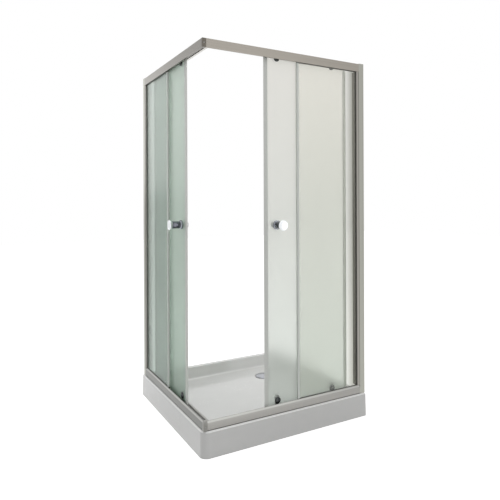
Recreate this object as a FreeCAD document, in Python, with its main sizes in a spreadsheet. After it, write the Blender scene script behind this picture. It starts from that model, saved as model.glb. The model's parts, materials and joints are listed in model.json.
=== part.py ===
"""A square corner-entry shower enclosure on a low tray, with two sliding doors.

Frame of reference, in millimetres: the origin is on the floor under the middle of the tray, +Z is up,
the walls of the room are at +X and +Y, and the two front sides meet at the entry corner (-X, -Y).

Both front sides are the same assembly, mirrored on the diagonal through the entry corner. Each piece of
a side is written once, for the right-hand side. There "u" runs along the side from the frame's entry
corner towards the wall (+X) and "v" runs from the frame's outer face into the cabin (+Y).
"""
import FreeCAD, Part

import os
import re

import Sketcher
from FreeCAD import Placement, Rotation, Vector

# ---------------------------------------------------------------- driving dimensions
SIZES = (
    # tray
    ("tray_width", 1000, "along X, from the entry side to the wall"),
    ("tray_depth", 1000, "along Y, from the entry side to the wall"),
    ("tray_height", 130, "floor to rim"),
    ("tray_wall", 5, "thickness of the moulded shell"),
    ("tray_flare", 3.5, "how far the front skirts lean out at the floor"),
    ("tray_corner_radius", 40, "entry corner of the tray"),
    ("rim_edge_radius", 7, "rounding of the rim's outer edge"),
    ("front_rim", 64, "flat rim that carries the frame"),
    ("wall_rim", 42, "flat rim along the walls"),
    ("wall_lip", 45, "height of the turned-down edge along the walls"),
    ("standing_height", 60, "top of the tray's floor"),
    ("recess_lean", 24, "how far the recess walls lean in"),
    ("recess_radius", 70, "upright corners of the recess"),
    ("recess_fillet", 18, "floor to wall inside the recess"),
    # waste
    ("drain_inset", 255, "waste centre to each wall plane"),
    ("dish_radius", 62, "shallow dish round the waste"),
    ("dish_depth", 5, "depth of that dish"),
    ("drain_hole_radius", 45, "hole for a 90 mm waste"),
    ("cover_radius", 56, "drain cover"),
    ("cover_thickness", 3.5, "drain cover"),
    ("seal_thickness", 3, "rubber washer under the tray"),
    ("trap_radius", 52, "outside of the trap"),
    ("trap_wall", 3, "wall of the trap"),
    ("trap_clearance", 7, "trap's underside to the floor"),
    ("outlet_radius", 20, "outside of the outlet spigot"),
    ("outlet_length", 46, "spigot beyond the trap"),
    ("collar_place", 7, "stop collar on the spigot, from the trap"),
    ("collar_width", 3, "stop collar"),
    ("collar_rise", 2, "stop collar above the spigot"),
    # tray support
    ("board_thickness", 12, "board under the tray's floor"),
    ("board_margin", 14, "board's edge to the foot of the recess wall"),
    ("bar_size", 20, "square steel tube"),
    ("bar_wall", 2, "wall of that tube"),
    ("bar_end_gap", 60, "bar's end to the tray's side"),
    ("front_bar_inset", 150, "front bar to the entry side of the tray"),
    ("rear_bar_inset", 110, "rear bar to the wall"),
    ("pipe_room", 12, "board's notch, clear of the outlet on each side"),
    ("foot_inset", 40, "foot to the end of its bar"),
    ("foot_radius", 25, "sole of a foot"),
    ("foot_bolt_radius", 5, "M10 foot bolt"),
    ("nut_radius", 9.8, "lock nut, across corners"),
    ("nut_height", 7, "lock nut"),
    # frame
    ("frame_inset", 7, "frame's outer face to the edge of the tray"),
    ("frame_height", 1890, "tray rim to the top of the frame"),
    ("rail_depth", 46, "rails, across"),
    ("skin", 1.8, "wall of the extrusions"),
    ("top_rail_height", 44, "outer face of a top rail"),
    ("rib_lift", 6, "rib behind the fixed pane above the foot of that face"),
    ("bottom_rail_height", 48, "outer face of a bottom rail"),
    ("slope_height", 12, "sloped band on a bottom rail"),
    ("foot_groove", 2, "shadow gap under a bottom rail"),
    ("inner_rib_height", 40, "rib behind the fixed pane, bottom rail"),
    ("pane_shelf", 9, "foot of the pane's slot above the rim"),
    ("track_inset", 1, "track's edge to the flank of its wheel"),
    ("corner_block", 20, "visible width of a corner connector"),
    ("connector_leg", 32, "leg of a connector inside a rail"),
    ("post_reach", 50, "wall to the open edge of the side post"),
    ("post_width", 36, "side post, along its side of the cabin"),
    ("post_slot", 14, "depth of the slot for the pane"),
    ("profile_leg", 34, "legs of the wall profile"),
    ("profile_rise", 3, "wall profile above the rails"),
    ("slide_fit", 0.2, "side post inside the wall profile, each side"),
    ("wall_hole_radius", 3, "holes for the wall screws"),
    ("wall_hole_spacing", 800, "between those holes"),
    ("frame_screw_radius", 1.75, "small frame screws"),
    ("screw_spacing", 820, "between those screws"),
    ("screw_head", 3.3, "head of a connector's screw"),
    ("screw_fit", 0.1, "screw in its hole, each side"),
    # glass
    ("glass", 5, "panes"),
    ("fixed_set", 10, "fixed pane behind the frame's face"),
    ("gasket", 2.2, "rubber on each side of a fixed pane"),
    ("gasket_lip", 1.5, "rubber that shows past the frame"),
    ("fixed_top_gap", 12, "fixed pane's top below the frame's top"),
    ("fixed_width", 400, "fixed pane, from its free edge to the side post"),
    ("seal_skin", 1.5, "wall of the clip-on seals"),
    ("seal_grip", 10, "how far the clip-on seals cover the glass"),
    # doors
    ("door_set", 24, "door pane behind the frame's face"),
    ("door_width", 530, "with its seals"),
    ("door_end_gap", 11, "fully open door to the side post"),
    ("right_rest", 58, "right door at rest, from fully open"),
    ("left_rest", 124, "left door at rest, from fully open"),
    ("meeting_gap", 1, "each magnetic seal to the diagonal"),
    ("magnet_width", 24, "magnetic seal"),
    ("magnet_depth", 11, "magnetic seal"),
    ("door_bottom", 22, "door pane above the tray's rim"),
    ("door_top", 16, "door pane below the frame's top"),
    ("seal_relief", 4, "rear seal's ends to the rails"),
    # rollers
    ("front_roller", 81, "from the door's leading tip"),
    ("rear_roller", 96, "from the door's rear edge"),
    ("top_axle_drop", 18, "top axles below the frame's top"),
    ("hanger_rise", 18, "top axle above the bolt that clamps the glass"),
    ("bolt_height", 59, "lower roller bolts above the rim"),
    ("carriage_drop", 17, "lower axle below its bolt"),
    ("wheel_radius", 10.8, "flanges of a wheel"),
    ("tread_radius", 9.3, "groove of a wheel"),
    ("wheel_width", 8, "wheel"),
    ("groove_width", 3.2, "groove of a wheel"),
    ("bead_width", 2.4, "bead that the wheels run on"),
    ("bead_height", 2.7, "bead above its track"),
    ("tread_gap", 0.2, "running gap, tread to bead"),
    ("axle_radius", 2.5, "roller axles"),
    ("axle_fit", 0.05, "wheel on its axle, each side"),
    ("side_gap", 0.3, "wheel to what stands beside it"),
    ("hub_thickness", 4.2, "hanger between the door and its wheel"),
    ("hub_radius", 11, "rounded ends of a hanger"),
    ("axle_head_radius", 4, "head that keeps the wheel on"),
    ("axle_head", 1.4, "its thickness"),
    ("stud_radius", 4.8, "stud through the glass"),
    ("pane_hole_fit", 0.2, "stud in the glass, each side"),
    ("cap_radius", 17, "round cap of a roller"),
    ("cap_thickness", 4.5, "round cap of a roller"),
    ("housing_half_width", 13, "lower roller housing"),
    ("housing_height", 20, "housing above its bolt"),
    ("housing_foot", 9, "housing below its bolt"),
    ("housing_back", 2.3, "back of the housing, behind the sprung plate"),
    ("housing_depth", 9, "housing, from the glass inwards"),
    ("housing_skin", 1.5, "front wall of the housing"),
    ("carriage_half_width", 8, "sprung plate"),
    ("plate_thickness", 1.6, "sprung plate"),
    ("window_half_width", 4.6, "window for the spring"),
    ("window_foot", 2, "window above the bolt"),
    ("window_top", 15.3, "window above the bolt"),
    ("bridge_foot", 12, "housing's bridge over the spring, above the bolt"),
    ("shelf_thickness", 1.5, "plate's shelf under the spring"),
    ("tab_thickness", 3, "thumb tab"),
    ("tab_depth", 11, "thumb tab, from the glass inwards"),
    ("release_travel", 5, "lift that frees the door"),
    ("spring_radius", 1.9, "middle of the spring's wire"),
    ("spring_wire", 0.4, "radius of the spring's wire"),
    ("stop_length", 12, "rubber stop in a top rail"),
    # handles
    ("knob_offset", 78, "from the door's leading tip"),
    ("knob_height", 1110, "above the floor"),
    ("knob_length", 72, "outer knob"),
    ("knob_end_radius", 27, "flared end"),
    ("knob_barrel_radius", 19.5, "barrel"),
    ("knob_base_radius", 24, "ring at the glass"),
    ("inner_knob_length", 28, "knob inside the cabin"),
    ("inner_knob_radius", 18, "knob inside the cabin"),
    ("handle_screw_radius", 3, "M6 screw through the glass"),
)

doc = FreeCAD.newDocument("shower_enclosure")
sheet = doc.addObject("Spreadsheet::Sheet", "sizes")
for row, (alias, number, meaning) in enumerate(SIZES, start=1):
    sheet.set(f"A{row}", alias)
    sheet.set(f"B{row}", str(number))
    sheet.setAlias(f"B{row}", alias)
    sheet.set(f"C{row}", meaning)
doc.recompute()

# ---------------------------------------------------------------- places worked out from them
PLACES = {
    "corner_x": "frame_inset - tray_width / 2",
    "corner_y": "frame_inset - tray_depth / 2",
    "frame_top": "tray_height + frame_height",
    # across a rail
    "slot_start": "fixed_set - gasket",
    "slot_end": "fixed_set + glass + gasket",
    "rib_back": "slot_end + skin",
    "door_back": "door_set + glass",
    "wheel_set": "door_back + hub_thickness + side_gap",
    "wheel_middle": "wheel_set + wheel_width / 2",
    "track_start": "wheel_set + track_inset",
    "inner_wall": "wheel_set - side_gap",
    "bead_start": "wheel_middle - bead_width / 2",
    "bead_end": "wheel_middle + bead_width / 2",
    # heights: the top rail is measured from the foot of its outer face, the bottom rail from the rim
    "top_rail_foot": "frame_top - top_rail_height",
    "top_bead": "top_rail_height - top_axle_drop - tread_radius - tread_gap",
    "top_track": "top_bead - bead_height",
    "top_axle": "frame_top - top_axle_drop",
    "top_bolt": "top_axle - hanger_rise",
    "bolt_level": "tray_height + bolt_height",
    "low_axle": "bolt_level - carriage_drop",
    "low_bead": "bolt_height - carriage_drop - tread_radius - tread_gap",
    "low_track": "low_bead - bead_height",
    # along a side
    "closed_tip": "door_set - (magnet_depth - glass) / 2 + meeting_gap",
    "magnet_start": "door_set - (magnet_depth - glass) / 2",
    # lower rollers
    "guide": "door_back + housing_back + side_gap",
}


def cells(rule):
    """Turns the words of a rule into references to the sheet, through PLACES where needed."""
    def one(found):
        word = found.group(0)
        if word in PLACES:
            return "(" + cells(PLACES[word]) + ")"
        return "sizes." + word if word in ALIASES else word
    return re.sub(r"[a-z_]+", one, str(rule))


ALIASES = {alias for alias, number, meaning in SIZES}


def value(rule):
    """The number that a rule gives with the sizes as they are."""
    return float(sheet.evalExpression(cells(rule)))


def place(thing, x, y, z):
    """Ties the place of an object to the sheet."""
    for letter, rule in zip("xyz", (x, y, z)):
        thing.setExpression(f"Placement.Base.{letter}", cells(rule))
    return thing


def box(name, low, high):
    """A block from its lowest to its highest corner."""
    thing = doc.addObject("Part::Box", name)
    for side, start, end in zip(("Length", "Width", "Height"), low, high):
        thing.setExpression(side, cells(f"({end}) - ({start})"))
    return place(thing, *low)


TURNS = {"x": Rotation(Vector(0, 1, 0), 90), "y": Rotation(Vector(1, 0, 0), -90), "z": Rotation()}


def rod(name, start, axis, radius, length):
    """A cylinder from its start along +X, +Y or +Z."""
    thing = doc.addObject("Part::Cylinder", name)
    thing.Placement = Placement(Vector(), TURNS[axis])
    thing.setExpression("Radius", cells(radius))
    thing.setExpression("Height", cells(length))
    return place(thing, *start)


def cut(name, base, *tools):
    """The base with every tool taken out of it."""
    thing = doc.addObject("Part::Cut", name)
    thing.Base = base
    thing.Tool = tools[0] if len(tools) == 1 else fuse(name + "_tools", *tools)
    return thing


def fuse(name, *shapes):
    thing = doc.addObject("Part::MultiFuse", name)
    thing.Shapes = list(shapes)
    return thing


def common(name, *shapes):
    thing = doc.addObject("Part::MultiCommon", name)
    thing.Shapes = list(shapes)
    return thing


def group(name, *shapes):
    """Several separate solids in one sub-part."""
    thing = doc.addObject("Part::Compound", name)
    thing.Links = list(shapes)
    return thing


def body(name):
    return doc.addObject("PartDesign::Body", name)


def flat_sketch(owner, plane, *loops, lift="0"):
    """A fully tied sketch of straight-sided loops on an origin plane of its own body.

    Each corner is a pair of rules, measured from the origin, and no corner lies on its negative side.
    """
    base = next(item for item in owner.Origin.OriginFeatures if item.Role == plane)
    sketch = owner.newObject("Sketcher::SketchObject", owner.Name + "_sketch")
    sketch.AttachmentSupport = [(base, "")]
    sketch.MapMode = "FlatFace"
    sketch.setExpression("AttachmentOffset.Base.z", cells(lift))
    for corners in loops:
        points = [Vector(value(across), value(along), 0) for across, along in corners]
        first = sketch.GeometryCount
        for start, end in zip(points, points[1:] + points[:1]):
            sketch.addGeometry(Part.LineSegment(start, end), False)
        last = sketch.GeometryCount - 1
        for index, (across, along) in enumerate(corners, start=first):
            follower = first if index == last else index + 1
            sketch.addConstraint(Sketcher.Constraint("Coincident", index, 2, follower, 1))
            for kind, rule in (("DistanceX", across), ("DistanceY", along)):
                tie = sketch.addConstraint(Sketcher.Constraint(kind, -1, 1, index, 1, value(rule)))
                sketch.setExpression(f"Constraints[{tie}]", cells(rule))
    return sketch


def extrusion(name, plane, length, *loops):
    """A body padded from a sketch: on YZ_Plane it runs along +X, on XY_Plane along +Z."""
    owner = body(name)
    pad = owner.newObject("PartDesign::Pad", name + "_pad")
    pad.Profile = flat_sketch(owner, plane, *loops)
    pad.setExpression("Length", cells(length))
    owner.Tip = pad
    return owner


def turned(name, plane, corners):
    """A body turned round the sketch's upright axis: +Y on XY_Plane, +Z on XZ_Plane."""
    owner = body(name)
    sketch = flat_sketch(owner, plane, corners)
    spin = owner.newObject("PartDesign::Revolution", name + "_turn")
    spin.Profile = sketch
    spin.ReferenceAxis = (sketch, ["V_Axis"])
    spin.Angle = 360
    owner.Tip = spin
    return owner


def round_edges(name, source, radius, test):
    """Rounds the edges of a Part object that pass a test of their middle and direction."""
    doc.recompute()
    thing = doc.addObject("Part::Fillet", name)
    thing.Base = source
    chosen = []
    for number, edge in enumerate(source.Shape.Edges, start=1):
        middle = edge.valueAt((edge.FirstParameter + edge.LastParameter) / 2)
        if test(middle, edge):
            chosen.append((number, value(radius), value(radius)))
    if not chosen:
        raise ValueError(f"{name}: no edge to round")
    thing.Edges = chosen
    return thing


def near(one, other):
    return abs(one - other) < 0.01


FINISHED = []


def node(name, thing):
    """Names a finished sub-part."""
    thing.Label = name
    FINISHED.append(thing)
    return thing


def mirrored(name, source):
    """The left-hand counterpart of a right-hand object, across the diagonal of the entry corner."""
    thing = doc.addObject("Part::Mirroring", name)
    thing.Source = source
    thing.Normal = Vector(1, -1, 0)
    thing.setExpression("Base.x", cells("corner_x"))
    thing.setExpression("Base.y", cells("corner_y"))
    return thing


# ---------------------------------------------------------------- tray
def sloped_block(name, low, high, bottom_inset, top_inset):
    """A block whose sides may lean: a wedge between two rectangles, one above the other.

    bottom_inset and top_inset give, for the entry sides and for the wall sides, how far each rectangle
    lies inside the block's own corners.
    """
    wide = f"(({high[0]}) - ({low[0]}))"
    deep = f"(({high[1]}) - ({low[1]}))"
    thing = doc.addObject("Part::Wedge", name)
    # the wedge tapers along its own Y, which is stood upright; its Z then runs from the wall to the entry
    thing.Placement = Placement(Vector(), Rotation(Vector(1, 0, 0), 90))
    rules = {"Ymin": "0", "Ymax": f"({high[2]}) - ({low[2]})"}
    for level, (entry, wall) in (("", bottom_inset), ("2", top_inset)):
        rules[f"X{level}min"] = entry
        rules[f"X{level}max"] = f"{wide} - ({wall})"
        rules[f"Z{level}min"] = wall
        rules[f"Z{level}max"] = f"{deep} - ({entry})"
    for side, rule in rules.items():
        thing.setExpression(side, cells(rule))
    return place(thing, low[0], high[1], low[2])


def upright(edge):
    """True for an edge that rises, straight or leaning."""
    span = edge.BoundBox
    return span.ZLength > span.XLength and span.ZLength > span.YLength


def tray():
    """The moulded shell: rim, recess, skirts on the entry sides and a short lip along the walls."""
    entry_x, wall_x = "-tray_width / 2", "tray_width / 2"
    entry_y, wall_y = "-tray_depth / 2", "tray_depth / 2"
    foot = (f"{entry_x} - tray_flare", f"{entry_y} - tray_flare", "0")

    def lean_out(name, inset, top):
        return sloped_block(name, [f"{rule} + {inset}" for rule in foot[:2]] + ["0"],
                            (f"{wall_x} - {inset}", f"{wall_y} - {inset}", top), ("0", "0"), ("tray_flare", "0"))

    def round_corner(name, source, radius):
        """Rounds the upright edge at the entry corner."""
        return round_edges(name, source, radius,
                           lambda middle, edge: upright(edge) and middle.x < 0 and middle.y < 0)

    outside = lean_out("tray_outside", "0", "tray_height")
    outside = round_corner("tray_corner", outside, "tray_corner_radius")
    top = value("tray_height")
    outside = round_edges("tray_rim", outside, "rim_edge_radius",
                          lambda middle, edge: near(middle.z, top) and not upright(edge))

    def recess(name, grow):
        """The hollow of the recess, or the moulding round it, which is thicker by the wall."""
        low = (f"{entry_x} + front_rim - {grow}", f"{entry_y} + front_rim - {grow}",
               f"standing_height - {grow}")
        high = (f"{wall_x} - wall_rim + {grow}", f"{wall_y} - wall_rim + {grow}", "tray_height")
        hollow = sloped_block(name, low, high, ("recess_lean", "recess_lean"), ("0", "0"))
        hollow = round_edges(name + "_corners", hollow, f"recess_radius + {grow}",
                             lambda middle, edge: upright(edge))
        bottom = value(low[2])
        return round_edges(name + "_floor", hollow, f"recess_fillet + {grow}",
                           lambda middle, edge: near(middle.z, bottom))

    hollow = recess("recess", "0")
    moulding = recess("recess_moulding", "tray_wall")
    under = lean_out("tray_inside", "tray_wall", "tray_height - tray_wall")
    under = round_corner("tray_inside_corner", under, "tray_corner_radius - tray_wall")
    centre = ("tray_width / 2 - drain_inset", "tray_depth / 2 - drain_inset")
    boss = rod("drain_boss", (*centre, "standing_height - dish_depth - tray_wall"), "z",
               "dish_radius + tray_wall", "dish_depth + tray_wall")
    cavity = cut("tray_cavity", under, moulding, boss)
    dish = rod("drain_dish", (*centre, "standing_height - dish_depth"), "z", "dish_radius", "tray_height")
    hole = rod("drain_hole", (*centre, "0"), "z", "drain_hole_radius", "tray_height")
    open_x = box("open_side_x", (f"{wall_x} - tray_wall", f"{entry_y}", "-tray_wall"),
                 (f"{wall_x} + tray_wall", f"{wall_y} + tray_wall", "tray_height - wall_lip"))
    open_y = box("open_side_y", (f"{entry_x}", f"{wall_y} - tray_wall", "-tray_wall"),
                 (f"{wall_x} + tray_wall", f"{wall_y} + tray_wall", "tray_height - wall_lip"))
    node("tray_shell", cut("tray", outside, hollow, cavity, dish, hole, open_x, open_y))


def waste():
    """Flange and washer clamp the tray, the trap hangs below, and the cover lifts out with its tube."""
    x, y = "tray_width / 2 - drain_inset", "tray_depth / 2 - drain_inset"
    seat = "standing_height - dish_depth"
    sleeve, sleeve_bore = "drain_hole_radius - 1", "drain_hole_radius - 5"
    boss_foot = f"({seat} - tray_wall)"
    rim = "dish_radius - 3"
    flange_drop = "dish_depth + tray_wall + seal_thickness + 12"
    flange = turned("flange", "XZ_Plane", (
        (sleeve_bore, "0"), (sleeve, "0"), (sleeve, flange_drop), (rim, flange_drop),
        (rim, f"{flange_drop} + 1.5"), (f"{rim} - 2", f"{flange_drop} + 2.5"),
        (sleeve_bore, f"{flange_drop} + 2.5"), (sleeve_bore, "10"), (f"{sleeve_bore} - 3", "10"),
        (f"{sleeve_bore} - 3", "7"), (sleeve_bore, "7")))
    node("waste_flange", place(flange, x, y, f"{seat} - ({flange_drop})"))

    washer = cut("washer", rod("washer_disc", (x, y, f"{boss_foot} - seal_thickness"), "z",
                               "trap_radius + 6", "seal_thickness"),
                 rod("washer_hole", (x, y, "0"), "z", "drain_hole_radius + 0.3", "tray_height"))
    node("waste_seal", washer)

    trap_top = f"({boss_foot} - seal_thickness - trap_clearance)"
    neck = f"{sleeve} + 0.1"
    bore = "trap_radius - trap_wall"
    cup = turned("trap_cup", "XZ_Plane", (
        ("0", "0"), ("trap_radius - 4", "0"), ("trap_radius", "4"), ("trap_radius", f"{trap_top} - 5"),
        ("trap_radius + 6", f"{trap_top} - 3"), ("trap_radius + 6", trap_top), (neck, trap_top),
        (neck, f"{trap_top} - 13"), (bore, f"{trap_top} - 16"), (bore, "trap_wall + 2"),
        (f"{bore} - 2", "trap_wall"), ("0", "trap_wall")))
    place(cup, x, y, "trap_clearance")
    level = "trap_clearance + outlet_radius"
    start = f"{x} + trap_radius - trap_wall"
    spigot = rod("spigot", (start, y, level), "x", "outlet_radius", "outlet_length + trap_wall")
    way_out = rod("way_out", (f"{x} + trap_radius - 3 * trap_wall", y, level), "x",
                  "outlet_radius - trap_wall", "outlet_length + 5 * trap_wall")
    collar = rod("outlet_collar", (f"{x} + trap_radius + collar_place", y, level), "x",
                 "outlet_radius + collar_rise", "collar_width")
    node("trap_body", cut("trap", fuse("trap_solid", cup, spigot, collar), way_out))

    cover_foot = f"({seat} + 2.5)"
    underside = "dish_depth - 2.5 + 0.5"
    cover = turned("cover_disc", "XZ_Plane", (
        ("0", "0"), ("4", "0"), ("4", f"{underside} + 5.5"), ("cover_radius - 3", f"{underside} + 5.5"),
        ("cover_radius - 3", f"{underside} + 4.5"), ("cover_radius", f"{underside} + 4.5"),
        ("cover_radius", f"{underside} + 3.5 + cover_thickness"),
        ("cover_radius - 3", f"{underside} + 5.5 + cover_thickness"),
        ("0", f"{underside} + 6.5 + cover_thickness")))
    place(cover, x, y, f"{cover_foot} - 5.5")
    legs = []
    for number, (side_x, side_y) in enumerate(((1, 0), (-1, 0), (0, 1), (0, -1))):
        reach = "(cover_radius - 8)"
        legs.append(rod(f"cover_leg_{number}", (f"{x} + {side_x} * {reach}", f"{y} + {side_y} * {reach}",
                                                cover_foot), "z", "3", f"{underside} + 1"))
    node("drain_cover", fuse("cover", cover, *legs))

    ring_foot = f"({seat} - ({flange_drop}) + 10)"
    tube = turned("tube", "XZ_Plane", (
        ("drain_hole_radius - 17", "0"), ("drain_hole_radius - 15", "0"),
        ("drain_hole_radius - 15", f"{ring_foot} - 15"), ("drain_hole_radius - 5.4", f"{ring_foot} - 15"),
        ("drain_hole_radius - 5.4", f"{ring_foot} - 13"), ("drain_hole_radius - 17", f"{ring_foot} - 13")))
    place(tube, x, y, "15")
    reach = "(drain_hole_radius - 16)"
    bridge = box("tube_bridge", (f"{x} - {reach}", f"{y} - 4", f"{ring_foot}"),
                 (f"{x} + {reach}", f"{y} + 4", f"{cover_foot} - 5.5"))
    node("dip_tube", fuse("tube_with_bridge", tube, bridge))


# ---------------------------------------------------------------- what carries the tray
def support():
    """A board under the floor, three steel bars, and a screwed foot with its lock nut at each end."""
    under_floor = "standing_height - tray_wall"
    margin = "tray_wall + board_margin"
    inset = f"front_rim + recess_lean + {margin}"
    wall_inset = f"wall_rim + recess_lean + {margin}"
    board = box("board_plate",
                (f"-tray_width / 2 + {inset}", f"-tray_depth / 2 + {inset}", f"{under_floor} - board_thickness"),
                (f"tray_width / 2 - ({wall_inset})", f"tray_depth / 2 - ({wall_inset})", under_floor))
    drain = ("tray_width / 2 - drain_inset", "tray_depth / 2 - drain_inset")
    gap = rod("board_hole", (*drain, "0"), "z", "dish_radius + 2 * tray_wall", "tray_height")
    notch = box("board_notch", (drain[0], f"{drain[1]} - outlet_radius - pipe_room", "0"),
                ("tray_width / 2", f"{drain[1]} + outlet_radius + pipe_room", "tray_height"))
    node("reinforcing_board", cut("board", board, gap, notch))

    bar_top = f"{under_floor} - board_thickness"
    bar_foot = f"{bar_top} - bar_size"
    lines = ("-tray_depth / 2 + front_bar_inset", "0", "tray_depth / 2 - rear_bar_inset")
    left_end, right_end = "-tray_width / 2 + bar_end_gap", "tray_width / 2 - bar_end_gap"
    bars, feet, nuts = [], [], []
    for number, line in enumerate(lines):
        low = (left_end, f"{line} - bar_size / 2", bar_foot)
        high = (right_end, f"{line} + bar_size / 2", bar_top)
        tube = box(f"bar_{number}", low, high)
        hollow = box(f"bar_hollow_{number}",
                     (f"{low[0]} - 1", f"{low[1]} + bar_wall", f"{low[2]} + bar_wall"),
                     (f"{high[0]} + 1", f"{high[1]} - bar_wall", f"{high[2]} - bar_wall"))
        stands = [f"{left_end} + foot_inset", f"{right_end} - foot_inset"]
        if number == 1:
            stands = [f"{left_end} + foot_inset", "0", f"{right_end} - foot_inset"]
        holes = []
        for stand in stands:
            tag = f"{number}_{len(holes)}"
            holes.append(rod("bolt_hole_" + tag, (stand, line, f"{bar_foot} - 1"), "z",
                             "foot_bolt_radius + screw_fit", "bar_wall + 2"))
            foot = turned("foot_" + tag, "XZ_Plane", (
                ("0", "0"), ("foot_radius", "0"), ("foot_radius", "3"), ("foot_bolt_radius + 5", "8"),
                ("foot_bolt_radius", "8"), ("foot_bolt_radius", f"{bar_foot} + 12"),
                ("0", f"{bar_foot} + 12")))
            feet.append(place(foot, stand, line, "0"))
            nut = doc.addObject("Part::Prism", "nut_" + tag)
            nut.Polygon = 6
            nut.setExpression("Circumradius", cells("nut_radius"))
            nut.setExpression("Height", cells("nut_height"))
            place(nut, stand, line, f"{bar_foot} - nut_height")
            bore = rod("nut_bore_" + tag, (stand, line, "0"), "z", "foot_bolt_radius + screw_fit", bar_top)
            nuts.append(cut("locknut_" + tag, nut, bore))
        bars.append(cut(f"tube_{number}", tube, hollow, *holes))
    node("support_bars", group("bars", *bars))
    node("levelling_feet", group("feet", *feet))
    node("foot_locknuts", group("nuts", *nuts))


# ---------------------------------------------------------------- frame, one side at a time
def both(name, build, *places):
    """Builds a piece for the right side, and for the left side the mirror image of one of its sizes."""
    for side in SIDES:
        if side == "right":
            node(f"{name}_right", build(side, f"{name}_right_shape", *places))
        else:
            node(f"{name}_left", mirrored(f"{name}_left_mirror", build(side, f"{name}_left_shape", *places)))


SIDES = ("right", "left")
RUN = {"right": "(tray_width - frame_inset)", "left": "(tray_depth - frame_inset)"}
REST = {"right": "right_rest", "left": "left_rest"}


def at(thing, along, across, level):
    """Places a piece by u, v and height."""
    return place(thing, f"corner_x + {along}", f"corner_y + {across}", level)


def block(name, low, high):
    """A block between two corners given as u, v and height."""
    return box(name, (f"corner_x + {low[0]}", f"corner_y + {low[1]}", low[2]),
               (f"corner_x + {high[0]}", f"corner_y + {high[1]}", high[2]))


def pin(name, start, axis, radius, length):
    """A cylinder from a start given as u, v and height."""
    return rod(name, (f"corner_x + {start[0]}", f"corner_y + {start[1]}", start[2]), axis, radius, length)


def post_edge(side):
    return f"({RUN[side]} - post_reach)"


def rectangle(left, bottom, right, top):
    return ((left, bottom), (right, bottom), (right, top), (left, top))


def mitred(owner, start, height):
    """Cuts a rail's end along the diagonal of the entry corner, past the corner connector."""
    far = "rail_depth + 1"
    corners = (("0", start), (f"{far} - {start}", far), ("0", far))
    pocket = owner.newObject("PartDesign::Pocket", owner.Name + "_mitre_cut")
    pocket.Profile = flat_sketch(owner, "XY_Plane", corners)
    pocket.Type = "Length"
    pocket.Midplane = True
    pocket.setExpression("Length", cells(f"2 * ({height}) + 2"))
    owner.Tip = pocket
    return owner


MITRE_START = "(corner_block - side_gap / 2)"


def rail_length(side):
    """From the connector to the wall profile, under or over the side post."""
    return f"{RUN[side]} - profile_leg - side_gap - corner_block"


def top_rail(side, name):
    """A closed outer chamber, the fixed pane's slot, and an inner leg whose foot is the door's track."""
    top, inside = "top_rail_height", "top_rail_height - skin"
    outline = (
        ("0", "0"), ("slot_start", "0"), ("slot_start", inside), ("slot_end", inside),
        ("slot_end", "rib_lift"), ("rib_back", "rib_lift"), ("rib_back", inside), ("rail_depth - skin", inside),
        ("rail_depth - skin", "top_track"), ("bead_end", "top_track"), ("bead_end", "top_bead"),
        ("bead_start", "top_bead"), ("bead_start", "top_track"), ("track_start", "top_track"),
        ("track_start", "top_track - skin"), ("rail_depth", "top_track - skin"), ("rail_depth", top),
        ("0", top))
    chamber = rectangle("skin", "skin", "slot_start - skin", inside)
    rail = extrusion(name, "YZ_Plane", rail_length(side), outline, chamber)
    mitred(rail, MITRE_START, "top_rail_height")
    return at(rail, "corner_block", "0", "top_rail_foot")


def bottom_rail(side, name):
    """A sloped outer chamber, the fixed pane's slot, the door's gutter and the bead for its wheels."""
    slope_foot = "bottom_rail_height - slope_height"
    outline = (
        ("skin", "0"), ("rail_depth", "0"), ("rail_depth", "low_track"), ("bead_end", "low_track"),
        ("bead_end", "low_bead"), ("bead_start", "low_bead"), ("bead_start", "low_track"),
        ("inner_wall", "low_track"), ("inner_wall", "skin"), ("rib_back", "skin"),
        ("rib_back", "inner_rib_height"), ("slot_end", "inner_rib_height"), ("slot_end", "pane_shelf"),
        ("slot_start", "pane_shelf"), ("slot_start", "bottom_rail_height"),
        ("slot_start - skin", "bottom_rail_height"), ("0", slope_foot), ("0", "foot_groove"),
        ("skin", "foot_groove"))
    outer_chamber = (("skin", "foot_groove + skin"), ("slot_start - skin", "foot_groove + skin"),
                     ("slot_start - skin", f"{slope_foot} + slope_height / 2"), ("skin", slope_foot))
    shelf_chamber = rectangle("slot_start", "foot_groove", "slot_end", "pane_shelf - skin")
    track_chamber = rectangle("inner_wall + skin", "skin", "rail_depth - skin", "low_track - skin")
    rail = extrusion(name, "YZ_Plane", rail_length(side), outline, outer_chamber, shelf_chamber,
                     track_chamber)
    mitred(rail, MITRE_START, "bottom_rail_height")
    return at(rail, "corner_block", "0", "tray_height")


def screw_levels():
    """Heights of the screws that hold each side post in its wall profile."""
    middle = "(tray_height + frame_height / 2)"
    return [f"{middle} + {step} * screw_spacing" for step in (-1, 0, 1)]


def side_post(side, name):
    """Tube between the rails with a slot for the pane, cut for its three screws."""
    far = "rail_depth - skin - slide_fit"
    near_face = "skin + slide_fit"
    outline = (
        ("0", near_face), ("post_width", near_face), ("post_width", far), ("0", far),
        ("0", "slot_end"), ("post_slot", "slot_end"), ("post_slot", "slot_start"), ("0", "slot_start"))
    back = rectangle("post_slot + skin", f"{near_face} + skin", "post_width - skin", f"{far} - skin")
    front = rectangle("skin", "slot_end + skin", "post_slot", f"{far} - skin")
    height = "frame_height - top_rail_height - bottom_rail_height"
    tube = at(extrusion(name + "_tube", "XY_Plane", height, outline, back, front),
              post_edge(side), "0", "tray_height + bottom_rail_height")
    holes = [pin(f"{name}_hole_{number}", (screw_line(side), "rail_depth - 4 * skin", level), "y",
                 "frame_screw_radius + screw_fit", "4 * skin + 1")
             for number, level in enumerate(screw_levels())]
    return cut(name, tube, *holes)


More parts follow.
